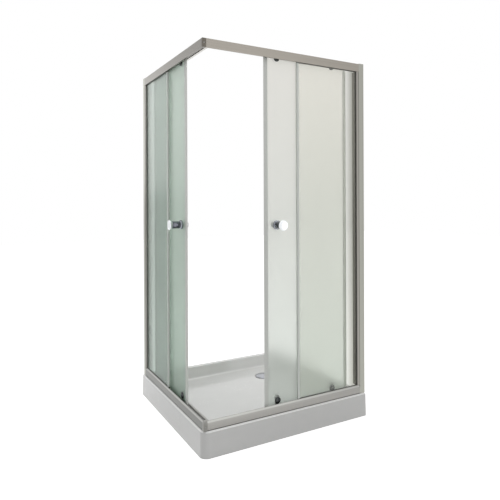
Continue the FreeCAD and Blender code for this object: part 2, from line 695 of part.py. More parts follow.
def screw_line(side):
    """Where the frame screws stand along a side: through the leg of the wall profile."""
    return f"({RUN[side]} - profile_leg + 8)"


def wall_profile(side, name):
    """Channel that is screwed to the wall and takes the side post."""
    outline = (
        ("0", "0"), ("profile_leg", "0"), ("profile_leg", "rail_depth"), ("0", "rail_depth"),
        ("0", "rail_depth - skin"), ("profile_leg - skin", "rail_depth - skin"),
        ("profile_leg - skin", "skin"), ("0", "skin"))
    channel = at(extrusion(name + "_channel", "XY_Plane", "frame_height + profile_rise", outline),
                 f"{RUN[side]} - profile_leg", "0", "tray_height")
    middle = "(tray_height + frame_height / 2)"
    holes = [pin(f"{name}_wall_hole_{number}",
                 (f"{RUN[side]} - 2 * skin", "rail_depth / 2", f"{middle} + {step} * wall_hole_spacing"), "x",
                 "wall_hole_radius", "3 * skin")
             for number, step in enumerate((-1, 0, 1))]
    holes += [pin(f"{name}_hole_{number}", (screw_line(side), "rail_depth - 2 * skin", level), "y",
                  "frame_screw_radius + screw_fit", "3 * skin")
              for number, level in enumerate(screw_levels())]
    return cut(name, channel, *holes)


def frame_screw_set(side):
    """Three screws from inside the cabin through the wall profile into the side post."""
    screws = []
    for number, level in enumerate(screw_levels()):
        shape = turned(f"frame_screw_{side}_{number}", "XY_Plane", (
            ("0", "0"), ("frame_screw_radius", "1.5"), ("frame_screw_radius", "12"),
            ("2 * frame_screw_radius", "12"), ("2 * frame_screw_radius", "13"),
            ("1.5 * frame_screw_radius", "14"), ("0", "14")))
        screws.append(at(shape, screw_line(side), "rail_depth - 12", level))
    return screws


def free_edge(side):
    """The fixed pane's free edge, along its side."""
    return f"({post_edge(side)} - fixed_width)"


def fixed_pane(side, name):
    return block(name, (free_edge(side), "fixed_set", "tray_height + pane_shelf + gasket"),
                 (f"{post_edge(side)} + post_slot - gasket", "fixed_set + glass", "frame_top - fixed_top_gap"))


def glazing_gasket(side, name):
    """Rubber channel round the three held edges of the fixed pane."""
    full = block(name + "_full", (free_edge(side), "slot_start", "tray_height + pane_shelf"),
                 (f"{post_edge(side)} + post_slot", "slot_end", "frame_top - fixed_top_gap + gasket"))
    window = block(name + "_window",
                   (f"{free_edge(side)} - 1", "0", "tray_height + bottom_rail_height + gasket_lip"),
                   (f"{post_edge(side)} - gasket_lip", "rail_depth",
                    "frame_top - top_rail_height - gasket_lip"))
    return cut(name, full, window, fixed_pane(side, name + "_pane"))


def edge_seal(side, name):
    """Clip-on seal of the fixed pane's free edge, with a fin towards the door."""
    start, back, front = "seal_skin", "fixed_set + glass", "fixed_set"
    outline = (
        ("0", f"{front} - seal_skin"), (f"{start} + seal_grip", f"{front} - seal_skin"),
        (f"{start} + seal_grip", front), (start, front), (start, back), (f"{start} + seal_grip", back),
        (f"{start} + seal_grip", f"{back} + seal_skin"), (f"{start}", f"{back} + seal_skin"),
        ("seal_skin * 0.8", "door_set - cap_thickness - side_gap"),
        ("0", "door_set - cap_thickness - side_gap"))
    low = "tray_height + bottom_rail_height + gasket_lip + side_gap"
    high = "frame_top - top_rail_height - gasket_lip - side_gap"
    strip = extrusion(name, "XY_Plane", f"({high}) - ({low})", outline)
    return at(strip, f"{free_edge(side)} - seal_skin", "0", low)


def corner_connector(name, outline, level, leg_low, leg_high):
    """Visible block at the entry corner with a leg inside each rail, and a recess for its screw."""
    bar = at(extrusion(name + "_bar", "YZ_Plane", "corner_block", outline), "0", "0", level)
    core = common(name + "_core", bar, mirrored(name + "_bar_mirror", bar))
    leg = block(name + "_leg", ("skin + slide_fit", "skin + slide_fit", leg_low),
                ("corner_block + connector_leg", "slot_start - skin - slide_fit", leg_high))
    solid = fuse(name + "_solid", core, leg, mirrored(name + "_leg_mirror", leg))
    corner_x, corner_y = value("corner_x"), value("corner_y")
    doc.recompute()
    solid = round_edges(name + "_round", solid, "skin * 2", lambda middle, edge: upright(edge)
                        and near(middle.x, corner_x) and near(middle.y, corner_y))
    middle = f"(({leg_low}) + ({leg_high})) / 2"
    recess = pin(name + "_recess", ("corner_block / 2", "-1", middle), "y", "screw_head + screw_fit", "3.5")
    hole = pin(name + "_hole", ("corner_block / 2", "0", middle), "y", "frame_screw_radius + screw_fit",
               "corner_block - 2")
    node(name, cut(name, solid, recess, hole))
    screw = turned(name + "_screw", "XY_Plane", (
        ("0", "0"), ("screw_head", "0.6"), ("screw_head", "1.6"), ("frame_screw_radius", "1.6"),
        ("frame_screw_radius", "9"), ("0", "10.5")))
    return at(screw, "corner_block / 2", "0.9", middle)


def frame():
    """Rails, posts, wall profiles, fixed glass and the connectors at the entry corner."""
    for name, build in (("top_rail", top_rail), ("bottom_rail", bottom_rail), ("side_post", side_post),
                        ("wall_profile", wall_profile), ("fixed_pane", fixed_pane),
                        ("glazing_gasket", glazing_gasket)):
        both(name, build)
    seals = [edge_seal("right", "edge_seal_right"), edge_seal("left", "edge_seal_left")]
    node("edge_seals", group("seals", seals[0], mirrored("edge_seal_left_mirror", seals[1])))
    screws = frame_screw_set("right")
    screws += [mirrored(f"frame_screw_mirror_{number}", screw)
               for number, screw in enumerate(frame_screw_set("left"))]
    node("frame_screws", group("screws", *screws))
    top = corner_connector("top_corner_connector", rectangle("0", "0", "corner_block", "top_rail_height"),
                           "top_rail_foot", "frame_top - top_rail_height + 3 * skin",
                           "frame_top - 2 * skin")
    slope = (("0", "foot_groove"), ("corner_block", "foot_groove"), ("corner_block", "bottom_rail_height"),
             ("slot_start - skin", "bottom_rail_height"), ("0", "bottom_rail_height - slope_height"))
    low = corner_connector("bottom_corner_connector", slope, "tray_height",
                           "tray_height + foot_groove + 2 * skin",
                           "tray_height + bottom_rail_height - slope_height - skin")
    node("corner_screws", group("connector_screws", top, low))


# ---------------------------------------------------------------- sliding doors
def tip(side):
    """The leading tip of a door at rest."""
    return f"({post_edge(side)} - door_end_gap - {REST[side]} - door_width)"


def roller_places(side):
    """Where a door's front and rear rollers stand along its side."""
    return ((f"({tip(side)} + front_roller)", "front"),
            (f"({tip(side)} + door_width - rear_roller)", "rear"))


def door_pane(side, name):
    """Glass with a hole for each roller and one for the handle."""
    pane = block(name + "_glass",
                 (f"{tip(side)} + magnet_width - seal_grip", "door_set", "tray_height + door_bottom"),
                 (f"{tip(side)} + door_width - seal_skin", "door_back", "frame_top - door_top"))
    holes = [pin(f"{name}_hole_{end}_{number}", (line, "door_set - 1", level), "y",
                 "stud_radius + pane_hole_fit", "glass + 2")
             for line, end in roller_places(side) for number, level in enumerate(("top_bolt", "bolt_level"))]
    holes.append(pin(name + "_handle_hole", (f"{tip(side)} + knob_offset", "door_set - 1", "knob_height"),
                     "y", "handle_screw_radius + pane_hole_fit", "glass + 2"))
    return cut(name, pane, *holes)


def magnetic_seal(side, name):
    """Strip on the leading edge; its nose is cut at 45 degrees to meet the other door's."""
    end, back = "magnet_width", "magnet_start + magnet_depth"
    outline = (
        ("0", "magnet_start"), (end, "magnet_start"), (end, "door_set"), (f"{end} - seal_grip", "door_set"),
        (f"{end} - seal_grip", "door_back"), (end, "door_back"), (end, back), ("magnet_depth", back))
    strip = extrusion(name, "XY_Plane", "frame_height - door_top - door_bottom", outline)
    return at(strip, tip(side), "0", "tray_height + door_bottom")


def rear_seal(side, name):
    """Strip on the rear edge with a fin towards the fixed pane; it ends short of the rails."""
    reach = "seal_grip + seal_skin"
    outer, inner = "door_set - seal_skin", "door_back + seal_skin"
    outline = (
        ("0", outer), (f"{reach} - 0.8 * seal_skin", outer), (f"{reach} - 0.8 * seal_skin", "slot_end + 0.4"),
        (reach, "slot_end + 0.4"), (reach, inner), ("0", inner), ("0", "door_back"),
        ("seal_grip", "door_back"), ("seal_grip", "door_set"), ("0", "door_set"))
    height = "frame_height - top_rail_height - bottom_rail_height - 2 * seal_relief"
    strip = extrusion(name, "XY_Plane", height, outline)
    return at(strip, f"{tip(side)} + door_width - ({reach})", "0",
              "tray_height + bottom_rail_height + seal_relief")


def roller_caps(side, name):
    """Four domed caps on the outer face of the door, one over each stud."""
    caps = []
    for line, end in roller_places(side):
        for number, level in enumerate(("top_bolt", "bolt_level")):
            cap = turned(f"{name}_{end}_{number}", "XY_Plane", (
                ("0", "0"), ("cap_radius * 0.75", "0"), ("cap_radius * 0.94", "cap_thickness * 0.3"),
                ("cap_radius", "cap_thickness * 0.65"), ("cap_radius", "cap_thickness"),
                ("0", "cap_thickness")))
            caps.append(at(cap, line, "door_set - cap_thickness", level))
    return group(name, *caps)


def top_hangers(side, name):
    """Two links that clamp the glass by their studs and carry the upper wheels' axles above it."""
    end = "(wheel_set + wheel_width + side_gap)"
    links = []
    for line, place_name in roller_places(side):
        tag = f"{name}_{place_name}"
        low = pin(tag + "_low", (line, "door_back", "top_bolt"), "y", "hub_radius", "hub_thickness")
        high = pin(tag + "_high", (line, "door_back", "top_axle"), "y", "hub_radius", "hub_thickness")
        bar = block(tag + "_bar", (f"{line} - hub_radius", "door_back", "top_bolt"),
                    (f"{line} + hub_radius", "door_back + hub_thickness", "top_axle"))
        stud = pin(tag + "_stud", (line, "door_set", "top_bolt"), "y", "stud_radius", "glass + 1")
        axle = pin(tag + "_axle", (line, "door_back + 1", "top_axle"), "y", "axle_radius",
                   f"{end} - door_back - 1")
        head = pin(tag + "_head", (line, end, "top_axle"), "y", "axle_head_radius", "axle_head")
        links.append(fuse(tag, low, high, bar, stud, axle, head))
    return group(name, *links)


def wheel(side, name, number, level):
    """Grooved nylon wheel that turns on a roller's axle."""
    line = roller_places(side)[number][0]
    edge = "(wheel_width - groove_width) / 2"
    shape = turned(name, "XY_Plane", (
        ("axle_radius + axle_fit", "0"), ("wheel_radius", "0"), ("wheel_radius", f"{edge} - 0.5"),
        ("tread_radius", edge), ("tread_radius", f"{edge} + groove_width"),
        ("wheel_radius", f"{edge} + groove_width + 0.5"), ("wheel_radius", "wheel_width"),
        ("axle_radius + axle_fit", "wheel_width")))
    return at(shape, line, "wheel_set", level)


def release_housing(side, name):
    """Two blocks on the door, each with an upright guide for its plate and a bridge over its spring."""
    top, inside = "bolt_level + housing_height", "door_back + housing_depth - housing_skin"
    blocks = []
    for line, end in roller_places(side):
        tag = f"{name}_{end}"
        back = block(tag + "_back", (f"{line} - housing_half_width", "door_back", "bolt_level - housing_foot"),
                     (f"{line} + housing_half_width", "door_back + housing_back", top))
        front = block(tag + "_front", (f"{line} - housing_half_width", "door_back", "bolt_level + side_gap"),
                      (f"{line} + housing_half_width", "door_back + housing_depth", top))
        slot = block(tag + "_guide", (f"{line} - carriage_half_width - side_gap", "door_back + housing_back",
                                      "bolt_level - housing_foot - 1"),
                     (f"{line} + carriage_half_width + side_gap", inside, f"{top} + 1"))
        half = "window_half_width - 2 * side_gap"
        bridge = block(tag + "_bridge", (f"{line} - ({half})", "door_back + side_gap", "bolt_level + bridge_foot"),
                       (f"{line} + {half}", inside, "bolt_level + window_top - side_gap"))
        stud = pin(tag + "_stud", (line, "door_set", "bolt_level"), "y", "stud_radius", "glass + 1")
        blocks.append(fuse(tag, cut(tag + "_shell", fuse(tag + "_blank", back, front), slot), bridge, stud))
    return group(name, *blocks)


def release_carriage(side, name, number):
    """Plate with a window for the spring, a thumb tab on top and the lower wheel's axle."""
    line = roller_places(side)[number][0]
    top = "bolt_level + housing_height + 2 * tab_thickness"
    left, right = f"{line} - carriage_half_width", f"{line} + carriage_half_width"
    plate = block(name + "_plate", (left, "guide", "low_axle - axle_head_radius - 2"),
                  (right, "guide + plate_thickness", top))
    low, high = f"{line} - window_half_width", f"{line} + window_half_width"
    window = block(name + "_window", (low, "0", "bolt_level + window_foot"),
                   (high, "rail_depth", "bolt_level + window_top"))
    shelf = block(name + "_shelf", (low, "guide", "bolt_level + window_foot - shelf_thickness"),
                  (high, "door_back + housing_depth - housing_skin - side_gap", "bolt_level + window_foot"))
    tab = block(name + "_tab", (left, "guide", f"{top} - tab_thickness"), (right, "door_back + tab_depth", top))
    end = "(wheel_set + wheel_width + side_gap)"
    axle = pin(name + "_axle", (line, "guide", "low_axle"), "y", "axle_radius", f"{end} - guide")
    head = pin(name + "_head", (line, end, "low_axle"), "y", "axle_head_radius", "axle_head")
    boss = pin(name + "_boss", (line, "guide", "low_axle"), "y", "axle_head_radius + 1",
               "wheel_set - side_gap - guide")
    return fuse(name, cut(name + "_framed", plate, window), shelf, tab, axle, head, boss)


SPRING_TURNS = 5


def release_springs(side, name):
    """Coil springs between the plates' shelves and the housings' bridges."""
    coils = []
    for line, end in roller_places(side):
        radius, wire = value("spring_radius"), value("spring_wire")
        height = value("bridge_foot - window_foot - 2 * spring_wire - 2 * tread_gap")
        helix = Part.makeHelix(height / SPRING_TURNS, height, radius)
        ring = Part.Wire(Part.Circle(Vector(radius, 0, 0), Vector(0, 1, 0), wire).toShape())
        coil = doc.addObject("Part::Feature", f"{name}_{end}")
        coil.Shape = Part.Wire(helix).makePipeShell([ring], True, True)
        coil.Placement = Placement()
        middle = "(guide + door_back + housing_depth - housing_skin) / 2 - side_gap"
        coils.append(at(coil, line, middle, "bolt_level + window_foot + spring_wire + tread_gap"))
    return group(name, *coils)


def knob(side, name):
    """Turned outer knob: flared end, barrel and a ring at the glass, with a blind hole for its screw."""
    end, barrel, base, length = "knob_end_radius", "knob_barrel_radius", "knob_base_radius", "knob_length"
    shape = turned(name, "XY_Plane", (
        ("0", "0"), (f"{end} - 2", "0"), (end, "1.5"), (end, "4"), (f"({end} + {barrel}) / 2 - 1", "8"),
        (f"{barrel} + 0.8", "12"), (barrel, "16"), (barrel, f"{length} - 15"),
        (f"{barrel} + 1.5", f"{length} - 14"), (base, f"{length} - 12"), (base, f"{length} - 2.5"),
        (f"{base} - 1.5", length), ("handle_screw_radius + screw_fit", length),
        ("handle_screw_radius + screw_fit", f"{length} - 22"), ("0", f"{length} - 22")))
    return at(shape, f"{tip(side)} + knob_offset", "door_set - knob_length", "knob_height")


def inner_knob(side, name):
    """The knob inside the cabin, bored and counterbored for the screw."""
    wide, deep, bore = "inner_knob_radius", "inner_knob_length", "handle_screw_radius + screw_fit"
    shape = turned(name, "XY_Plane", (
        (bore, "0"), (wide, "0"), (wide, "2.5"), (f"{wide} - 5", "6"), (f"{wide} - 6", "11"),
        (f"{wide} - 3", "17"), (wide, "20"), (wide, f"{deep} - 2"), (f"{wide} - 2", deep),
        ("2 * handle_screw_radius + screw_fit", deep), ("2 * handle_screw_radius + screw_fit", f"{deep} - 5"),
        (bore, f"{deep} - 5")))
    return at(shape, f"{tip(side)} + knob_offset", "door_back", "knob_height")


def knob_screw(side, name):
    """Screw from inside the cabin through the glass into the outer knob."""
    depth, radius = "18", "handle_screw_radius"
    end = f"{depth} + glass + inner_knob_length - 5"
    shape = turned(name, "XY_Plane", (
        ("0", "0"), (radius, "1"), (radius, end), (f"2 * {radius}", end), (f"2 * {radius}", f"{end} + 3"),
        (f"{radius}", f"{end} + 4"), ("0", f"{end} + 4")))
    return at(shape, f"{tip(side)} + knob_offset", f"door_set - {depth}", "knob_height")


def door_stops(side):
    """Rubber blocks on the top track that stop the rollers at both ends of the door's travel."""
    first = "closed_tip + front_roller - wheel_radius - side_gap"
    last = f"{post_edge(side)} - door_end_gap - rear_roller + wheel_radius + side_gap"
    stops = []
    for number, (low, high) in enumerate(((f"{first} - stop_length", first), (last, f"{last} + stop_length"))):
        stops.append(block(f"door_stop_{side}_{number}", (low, "track_start", "top_rail_foot + top_bead"),
                           (high, "rail_depth - skin", "top_axle + 6")))
    return stops


def doors():
    """Both doors with their seals, handles and rollers."""
    for name, build in (("door_pane", door_pane), ("magnetic_seal", magnetic_seal),
                        ("rear_seal", rear_seal), ("roller_caps", roller_caps),
                        ("top_hangers", top_hangers), ("release_housings", release_housing),
                        ("release_springs", release_springs), ("knob", knob),
                        ("inner_knob", inner_knob), ("knob_screw", knob_screw)):
        both(name, build)
    for number, end in enumerate(("front", "rear")):
        both(f"top_wheel_{end}", wheel, number, "top_axle")
        both(f"bottom_wheel_{end}", wheel, number, "low_axle")
        both(f"release_carriage_{end}", release_carriage, number)
    stops = door_stops("right")
    stops += [mirrored(f"door_stop_mirror_{number}", stop) for number, stop in enumerate(door_stops("left"))]
    node("door_stops", group("stops", *stops))


# ---------------------------------------------------------------- build, test and write
tray()
waste()
support()
frame()
doors()
doc.recompute()

for thing in doc.Objects:
    if "Invalid" in thing.State or "Error" in thing.State:
        raise RuntimeError(f"{thing.Name} failed: {thing.State}")
for thing in FINISHED:
    if thing.Shape.isNull() or not thing.Shape.isValid() or not thing.Shape.Solids:
        raise RuntimeError(f"{thing.Label} is not a valid solid")

os.makedirs("parts", exist_ok=True)
for thing in FINISHED:
    thing.Shape.exportStep(f"parts/{thing.Label}.step")
    solids = thing.Shape.Solids
    print(f"{thing.Label:32s} {len(solids):2d} solid(s) {sum(solid.Volume for solid in solids) / 1000:10.2f} cm3")
print(len(FINISHED), "sub-parts")
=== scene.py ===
# %% [markdown]
# # Dressing a corner shower enclosure
#
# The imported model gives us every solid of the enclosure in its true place, in metres. This lesson leaves
# those solids where they are and gives them the finish of the real thing: frosted glass, satin aluminium,
# bright chrome and glossy white acrylic. Small turned and repeated pieces, which the solids only outline,
# are made again with more detail.

import json
import math

import bmesh
import bpy
from mathutils import Matrix, Vector


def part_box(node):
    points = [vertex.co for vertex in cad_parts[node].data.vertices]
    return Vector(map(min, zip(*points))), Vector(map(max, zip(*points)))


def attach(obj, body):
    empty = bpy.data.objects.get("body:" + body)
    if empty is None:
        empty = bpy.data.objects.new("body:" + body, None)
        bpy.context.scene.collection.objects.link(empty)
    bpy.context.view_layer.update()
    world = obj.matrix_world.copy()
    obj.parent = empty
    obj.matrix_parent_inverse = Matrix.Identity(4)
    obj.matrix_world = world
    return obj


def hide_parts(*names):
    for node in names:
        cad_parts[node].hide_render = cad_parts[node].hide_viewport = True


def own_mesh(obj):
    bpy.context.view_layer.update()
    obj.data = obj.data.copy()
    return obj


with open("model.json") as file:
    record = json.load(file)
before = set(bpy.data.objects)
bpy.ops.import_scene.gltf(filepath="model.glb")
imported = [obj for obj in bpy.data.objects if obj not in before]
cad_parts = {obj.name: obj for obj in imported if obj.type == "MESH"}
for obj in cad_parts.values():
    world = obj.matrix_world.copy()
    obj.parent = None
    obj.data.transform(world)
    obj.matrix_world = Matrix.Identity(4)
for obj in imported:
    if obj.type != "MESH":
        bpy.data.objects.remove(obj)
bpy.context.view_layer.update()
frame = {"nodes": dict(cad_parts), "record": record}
NODES = frame["nodes"]

# %% [markdown]
# ## The camera
#
# The camera stands where the photographer stood. Its place and lens were worked out from the long straight
# edges of the rails and the tray: both sets of edges run to vanishing points, and those fix the direction
# and the focal length. The horizon lies above the middle of the frame while the upright edges stay parallel,
# so the camera looked level and the frame was shifted, as architects do. A level camera with a little shift
# keeps the uprights upright. The alternative, tilting the camera, would make them lean.

# %% Camera
EYE = Vector((-1.4451, -2.8091, 1.2314))
YAW, ROLL = math.radians(30.98), math.radians(-0.229)
IMAGE_SIDE = 500
FOCAL_PIXELS = 517.45
CENTRE_X, CENTRE_Y = 281.5, 201.8
SENSOR = 36.0

forward = Vector((math.sin(YAW), math.cos(YAW), 0))
level_right = Vector((math.cos(YAW), -math.sin(YAW), 0))
right = level_right * math.cos(ROLL) + Vector((0, 0, math.sin(ROLL)))
up = right.cross(forward)

camera_data = bpy.data.cameras.new("camera")
camera_data.sensor_width = SENSOR
camera_data.lens = SENSOR * FOCAL_PIXELS / IMAGE_SIDE
camera_data.shift_x = (IMAGE_SIDE / 2 - CENTRE_X) / IMAGE_SIDE
camera_data.shift_y = (CENTRE_Y - IMAGE_SIDE / 2) / IMAGE_SIDE
camera = bpy.data.objects.new("camera", camera_data)
camera.matrix_world = Matrix((
    (right.x, up.x, -forward.x, EYE.x),
    (right.y, up.y, -forward.y, EYE.y),
    (right.z, up.z, -forward.z, EYE.z),
    (0, 0, 0, 1)))
bpy.context.scene.collection.objects.link(camera)
bpy.context.scene.camera = camera
print("lens, mm:", round(camera_data.lens, 2), "shift:", round(camera_data.shift_x, 4),
      round(camera_data.shift_y, 4))

# %% [markdown]
# ## Helpers for node trees
#
# Materials here are built in code, so a few short helpers keep the cells readable. `add` places a node and
# fills its inputs; a value that is another node's output becomes a link, anything else becomes a setting.
# `new_material` also files its material under its name in FINISH.

# %% Node helpers
VECTOR, FLOAT, GEOMETRY = "NodeSocketVector", "NodeSocketFloat", "NodeSocketGeometry"
FINISH = {}


def put(tree, socket, given):
    """Links an output to the socket, or sets the socket's own value."""
    if isinstance(given, bpy.types.NodeSocket):
        tree.links.new(given, socket)
    else:
        socket.default_value = given


def fill(tree, node, **sockets):
    """Puts each value into the input of that name, with spaces written as _."""
    for name, given in sockets.items():
        put(tree, node.inputs[name.replace("_", " ")], given)
    return node


def add(tree, kind, settings=None, **sockets):
    """Places a node; settings are its own properties, sockets are its inputs."""
    node = tree.nodes.new(kind)
    for name, setting in (settings or {}).items():
        setattr(node, name, setting)
    return fill(tree, node, **sockets)


def maths(tree, operation, *terms):
    """The result of an operation on one, two or three terms."""
    node = add(tree, "ShaderNodeMath", {"operation": operation})
    for socket, term in zip(node.inputs, terms):
        put(tree, socket, term)
    return node.outputs[0]


def noise(tree, place, scale=1.0, detail=2.0, **more):
    """Plain noise, mostly from 0.3 to 0.7."""
    return add(tree, "ShaderNodeTexNoise", Vector=place, Scale=scale, Detail=detail, **more).outputs["Fac"]


def spread(tree, mask, low, high, start=0.3, end=0.7):
    """The mask's range from start to end, spread from low to high."""
    return add(tree, "ShaderNodeMapRange", Value=mask, From_Min=start, From_Max=end,
               To_Min=low, To_Max=high).outputs["Result"]


def new_group(name, inputs, outputs, kind="ShaderNodeTree"):
    """A node group with named sockets; returns the tree, what it is given and its output node."""
    tree = bpy.data.node_groups.new(name, kind)
    for title, socket_type, start in inputs:
        socket = tree.interface.new_socket(title, in_out="INPUT", socket_type=socket_type)
        if start is not None:
            socket.default_value = start
    for title, socket_type in outputs:
        tree.interface.new_socket(title, in_out="OUTPUT", socket_type=socket_type)
    return tree, tree.nodes.new("NodeGroupInput").outputs, tree.nodes.new("NodeGroupOutput")


def place_group(tree, group, **sockets):
    """Places a shader node group in a material and returns its outputs."""
    return add(tree, "ShaderNodeGroup", {"node_tree": group}, **sockets).outputs


def new_material(name, **surface):
    """A finish with one Principled BSDF; returns its tree and the shader."""
    material = bpy.data.materials.new(name)
    material.use_nodes = True
    FINISH[name] = material
    tree = material.node_tree
    return tree, fill(tree, tree.nodes["Principled BSDF"], **surface)

# %% [markdown]
# ## Floor, background and light
#
# The enclosure stands on a pale floor against white. Camera, mirror and transmitted rays see the world and
# the floor as white, so the glass and the metal show a white room, while the lamps stay at a plain level.
# The floor still takes the object's shadow, because only part of its whiteness comes from emission.

# %% World and floor
bpy.context.scene.view_settings.view_transform = "Standard"
WHITE, WHITE_ROOM, AMBIENT = (1, 1, 1, 1), 1.0, 0.45


def seen_directly(tree):
    """1 for camera, mirror and transmitted rays, 0 for the rays that carry soft light."""
    rays = tree.nodes.new("ShaderNodeLightPath").outputs
    either = maths(tree, "MAXIMUM", rays["Is Camera Ray"], rays["Is Glossy Ray"])
    return maths(tree, "MAXIMUM", either, rays["Is Transmission Ray"])


world = bpy.data.worlds.new("white_room")
bpy.context.scene.world = world
world.use_nodes = True
sky = world.node_tree
sky.nodes.clear()
soft = add(sky, "ShaderNodeBackground", Color=WHITE, Strength=AMBIENT)
white = add(sky, "ShaderNodeBackground", Color=WHITE, Strength=WHITE_ROOM)
choice = add(sky, "ShaderNodeMixShader")
put(sky, choice.inputs[0], seen_directly(sky))
put(sky, choice.inputs[1], soft.outputs[0])
put(sky, choice.inputs[2], white.outputs[0])
add(sky, "ShaderNodeOutputWorld", Surface=choice.outputs[0])

FLOOR_HALF = 14.0
floor_mesh = bpy.data.meshes.new("floor")
corners = [(-FLOOR_HALF, -FLOOR_HALF, 0), (FLOOR_HALF, -FLOOR_HALF, 0),
           (FLOOR_HALF, FLOOR_HALF, 0), (-FLOOR_HALF, FLOOR_HALF, 0)]
floor_mesh.from_pydata(corners, [], [(0, 1, 2, 3)])
floor = bpy.data.objects.new("floor", floor_mesh)
bpy.context.scene.collection.objects.link(floor)

FLOOR_GREY, FLOOR_GLOW = (0.55, 0.55, 0.55, 1), 0.85
floor_material = bpy.data.materials.new("pale_floor")
floor_material.use_nodes = True
tree = floor_material.node_tree
tree.nodes.clear()
matt = add(tree, "ShaderNodeBsdfDiffuse", Color=FLOOR_GREY)
glow = add(tree, "ShaderNodeEmission", Color=WHITE,
           Strength=maths(tree, "MULTIPLY", seen_directly(tree), FLOOR_GLOW))
both = add(tree, "ShaderNodeAddShader")
put(tree, both.inputs[0], matt.outputs[0])
put(tree, both.inputs[1], glow.outputs[0])
add(tree, "ShaderNodeOutputMaterial", Surface=both.outputs[0])
floor_mesh.materials.append(floor_material)
print("floor side, m:", 2 * FLOOR_HALF)

# %% [markdown]
# The strongest lamp is a soft panel overhead, which lights the tray through the open top. A large panel in
# front, to the right of the camera, and a strip above it make the right-hand side brighter than the left. A
# weak panel on the left keeps the left glass readable, and one behind it grazes the tray's left skirt. Large
# panels give soft, plain light; small ones would give hard shadows.

# %% Lamps
def panel_light(name, place, target, width, height, power):
    """A rectangular lamp that faces its target."""
    lamp = bpy.data.lights.new(name, "AREA")
    lamp.shape = "RECTANGLE"
    lamp.size, lamp.size_y = width, height
    lamp.energy = power
    holder = bpy.data.objects.new(name, lamp)
    holder.location = place
    holder.rotation_euler = (Vector(target) - Vector(place)).to_track_quat("-Z", "Y").to_euler()
    bpy.context.scene.collection.objects.link(holder)


MIDDLE = (0, 0, 1.0)
panel_light("front", (1.2, -5.0, 1.6), MIDDLE, 3.0, 3.0, 22)
panel_light("key", (1.6, -2.4, 4.0), MIDDLE, 2.4, 0.5, 10)
panel_light("fill", (-4.4, -0.6, 2.2), MIDDLE, 3.0, 3.0, 5)
panel_light("rim", (-2.3, 3.3, 2.1), (-0.5, 0, 0.3), 2.6, 1.6, 12)
panel_light("top", (0.2, 0.2, 4.4), MIDDLE, 2.6, 2.6, 62)
print("lamps:", [lamp.name for lamp in bpy.data.lights])

# %% [markdown]
# ## Shared surface effects
#
# Real surfaces are never quite even, and the same three effects come back on many pieces. Extruded metal has
# fine lines that run one way; moulded plastic, acrylic and frosted glass have a faint orange-peel; and nearly
# everything in a bathroom carries a little dried water. Each effect is a node group, so that one tree serves
# every material and each material sets its own scale and amount. A group only puts out numbers and normals;
# the shader itself stays in the material.

# %% Drawn lines
BROAD_SHARE = 0.35


def bumped(tree, given, height):
    """The normal for a height, as deep as the group is told."""
    return add(tree, "ShaderNodeBump", Strength=given["Depth"], Distance=given["Distance"],
               Height=height).outputs["Normal"]


def drawn_lines():
    """Fine lines along one direction: Lines is 0 to 1, Normal carries them as a bump."""
    tree, given, result = new_group(
        "drawn_lines", [("Vector", VECTOR, (0, 0, 0)), ("Depth", FLOAT, 0.05), ("Distance", FLOAT, 0.0001)],
        [("Lines", FLOAT), ("Normal", VECTOR)])
    mix = add(tree, "ShaderNodeMix", {"data_type": "FLOAT"})
    put(tree, mix.inputs[0], BROAD_SHARE)
    put(tree, mix.inputs[2], noise(tree, given["Vector"], detail=3.0))
    put(tree, mix.inputs[3], noise(tree, given["Vector"], scale=0.13, detail=1.0))
    fill(tree, result, Lines=mix.outputs[0], Normal=bumped(tree, given, mix.outputs[0]))
    return tree


LINES = drawn_lines()
print("group:", LINES.name)

# %% Moulded skin
def moulded_skin():
    """The faint ripple of moulded plastic: Mottle is 0 to 1, Normal carries the ripple."""
    tree, given, result = new_group(
        "moulded_skin", [("Vector", VECTOR, (0, 0, 0)), ("Scale", FLOAT, 60.0), ("Depth", FLOAT, 0.05),
                         ("Distance", FLOAT, 0.0005)], [("Mottle", FLOAT), ("Normal", VECTOR)])
    ripple = noise(tree, given["Vector"], given["Scale"], Roughness=0.45)
    fill(tree, result, Mottle=ripple, Normal=bumped(tree, given, ripple))
    return tree


SKIN = moulded_skin()
print("group:", SKIN.name)

# %% Dried water
def dried_water():
    """Faint spots that dried on: Roughness is the surface's own, raised a little inside the spots."""
    tree, given, result = new_group(
        "dried_water", [("Vector", VECTOR, (0, 0, 0)), ("Roughness", FLOAT, 0.2), ("Amount", FLOAT, 0.06),
                        ("Scale", FLOAT, 90.0)], [("Roughness", FLOAT)])
    cells = add(tree, "ShaderNodeTexVoronoi", Vector=given["Vector"], Scale=given["Scale"])
    spot = spread(tree, cells.outputs["Distance"], 1, 0, start=0.16, end=0.30)
    patch = spread(tree, noise(tree, given["Vector"], scale=9.0), 0, 1, start=0.48, end=0.66)
    spots = maths(tree, "MULTIPLY", spot, patch)
    fill(tree, result, Roughness=maths(tree, "MULTIPLY_ADD", spots, given["Amount"], given["Roughness"]))
    return tree


WATER = dried_water()
print("group:", WATER.name)

# %% [markdown]
# ## Finishes
#
# Every finish starts from Object coordinates, so a pattern stays in place when a door slides. A Mapping node
# stretches them: drawn metal is stretched a lot along its run, which turns plain noise into long fine lines.
# `mixed` blends two close colours by a group's mask, because no real surface has one flat colour. Colours are
# written as the eye sees them, and `mixed` turns them into the linear values that a socket takes.

# %% Finish helpers
def object_place(tree, scale=(1, 1, 1)):
    """Object coordinates times a scale for each axis."""
    source = tree.nodes.new("ShaderNodeTexCoord")
    return add(tree, "ShaderNodeMapping", Vector=source.outputs["Object"], Scale=scale).outputs["Vector"]


def axes_of(tree, vector):
    """The three numbers of a vector."""
    return add(tree, "ShaderNodeSeparateXYZ", Vector=vector).outputs


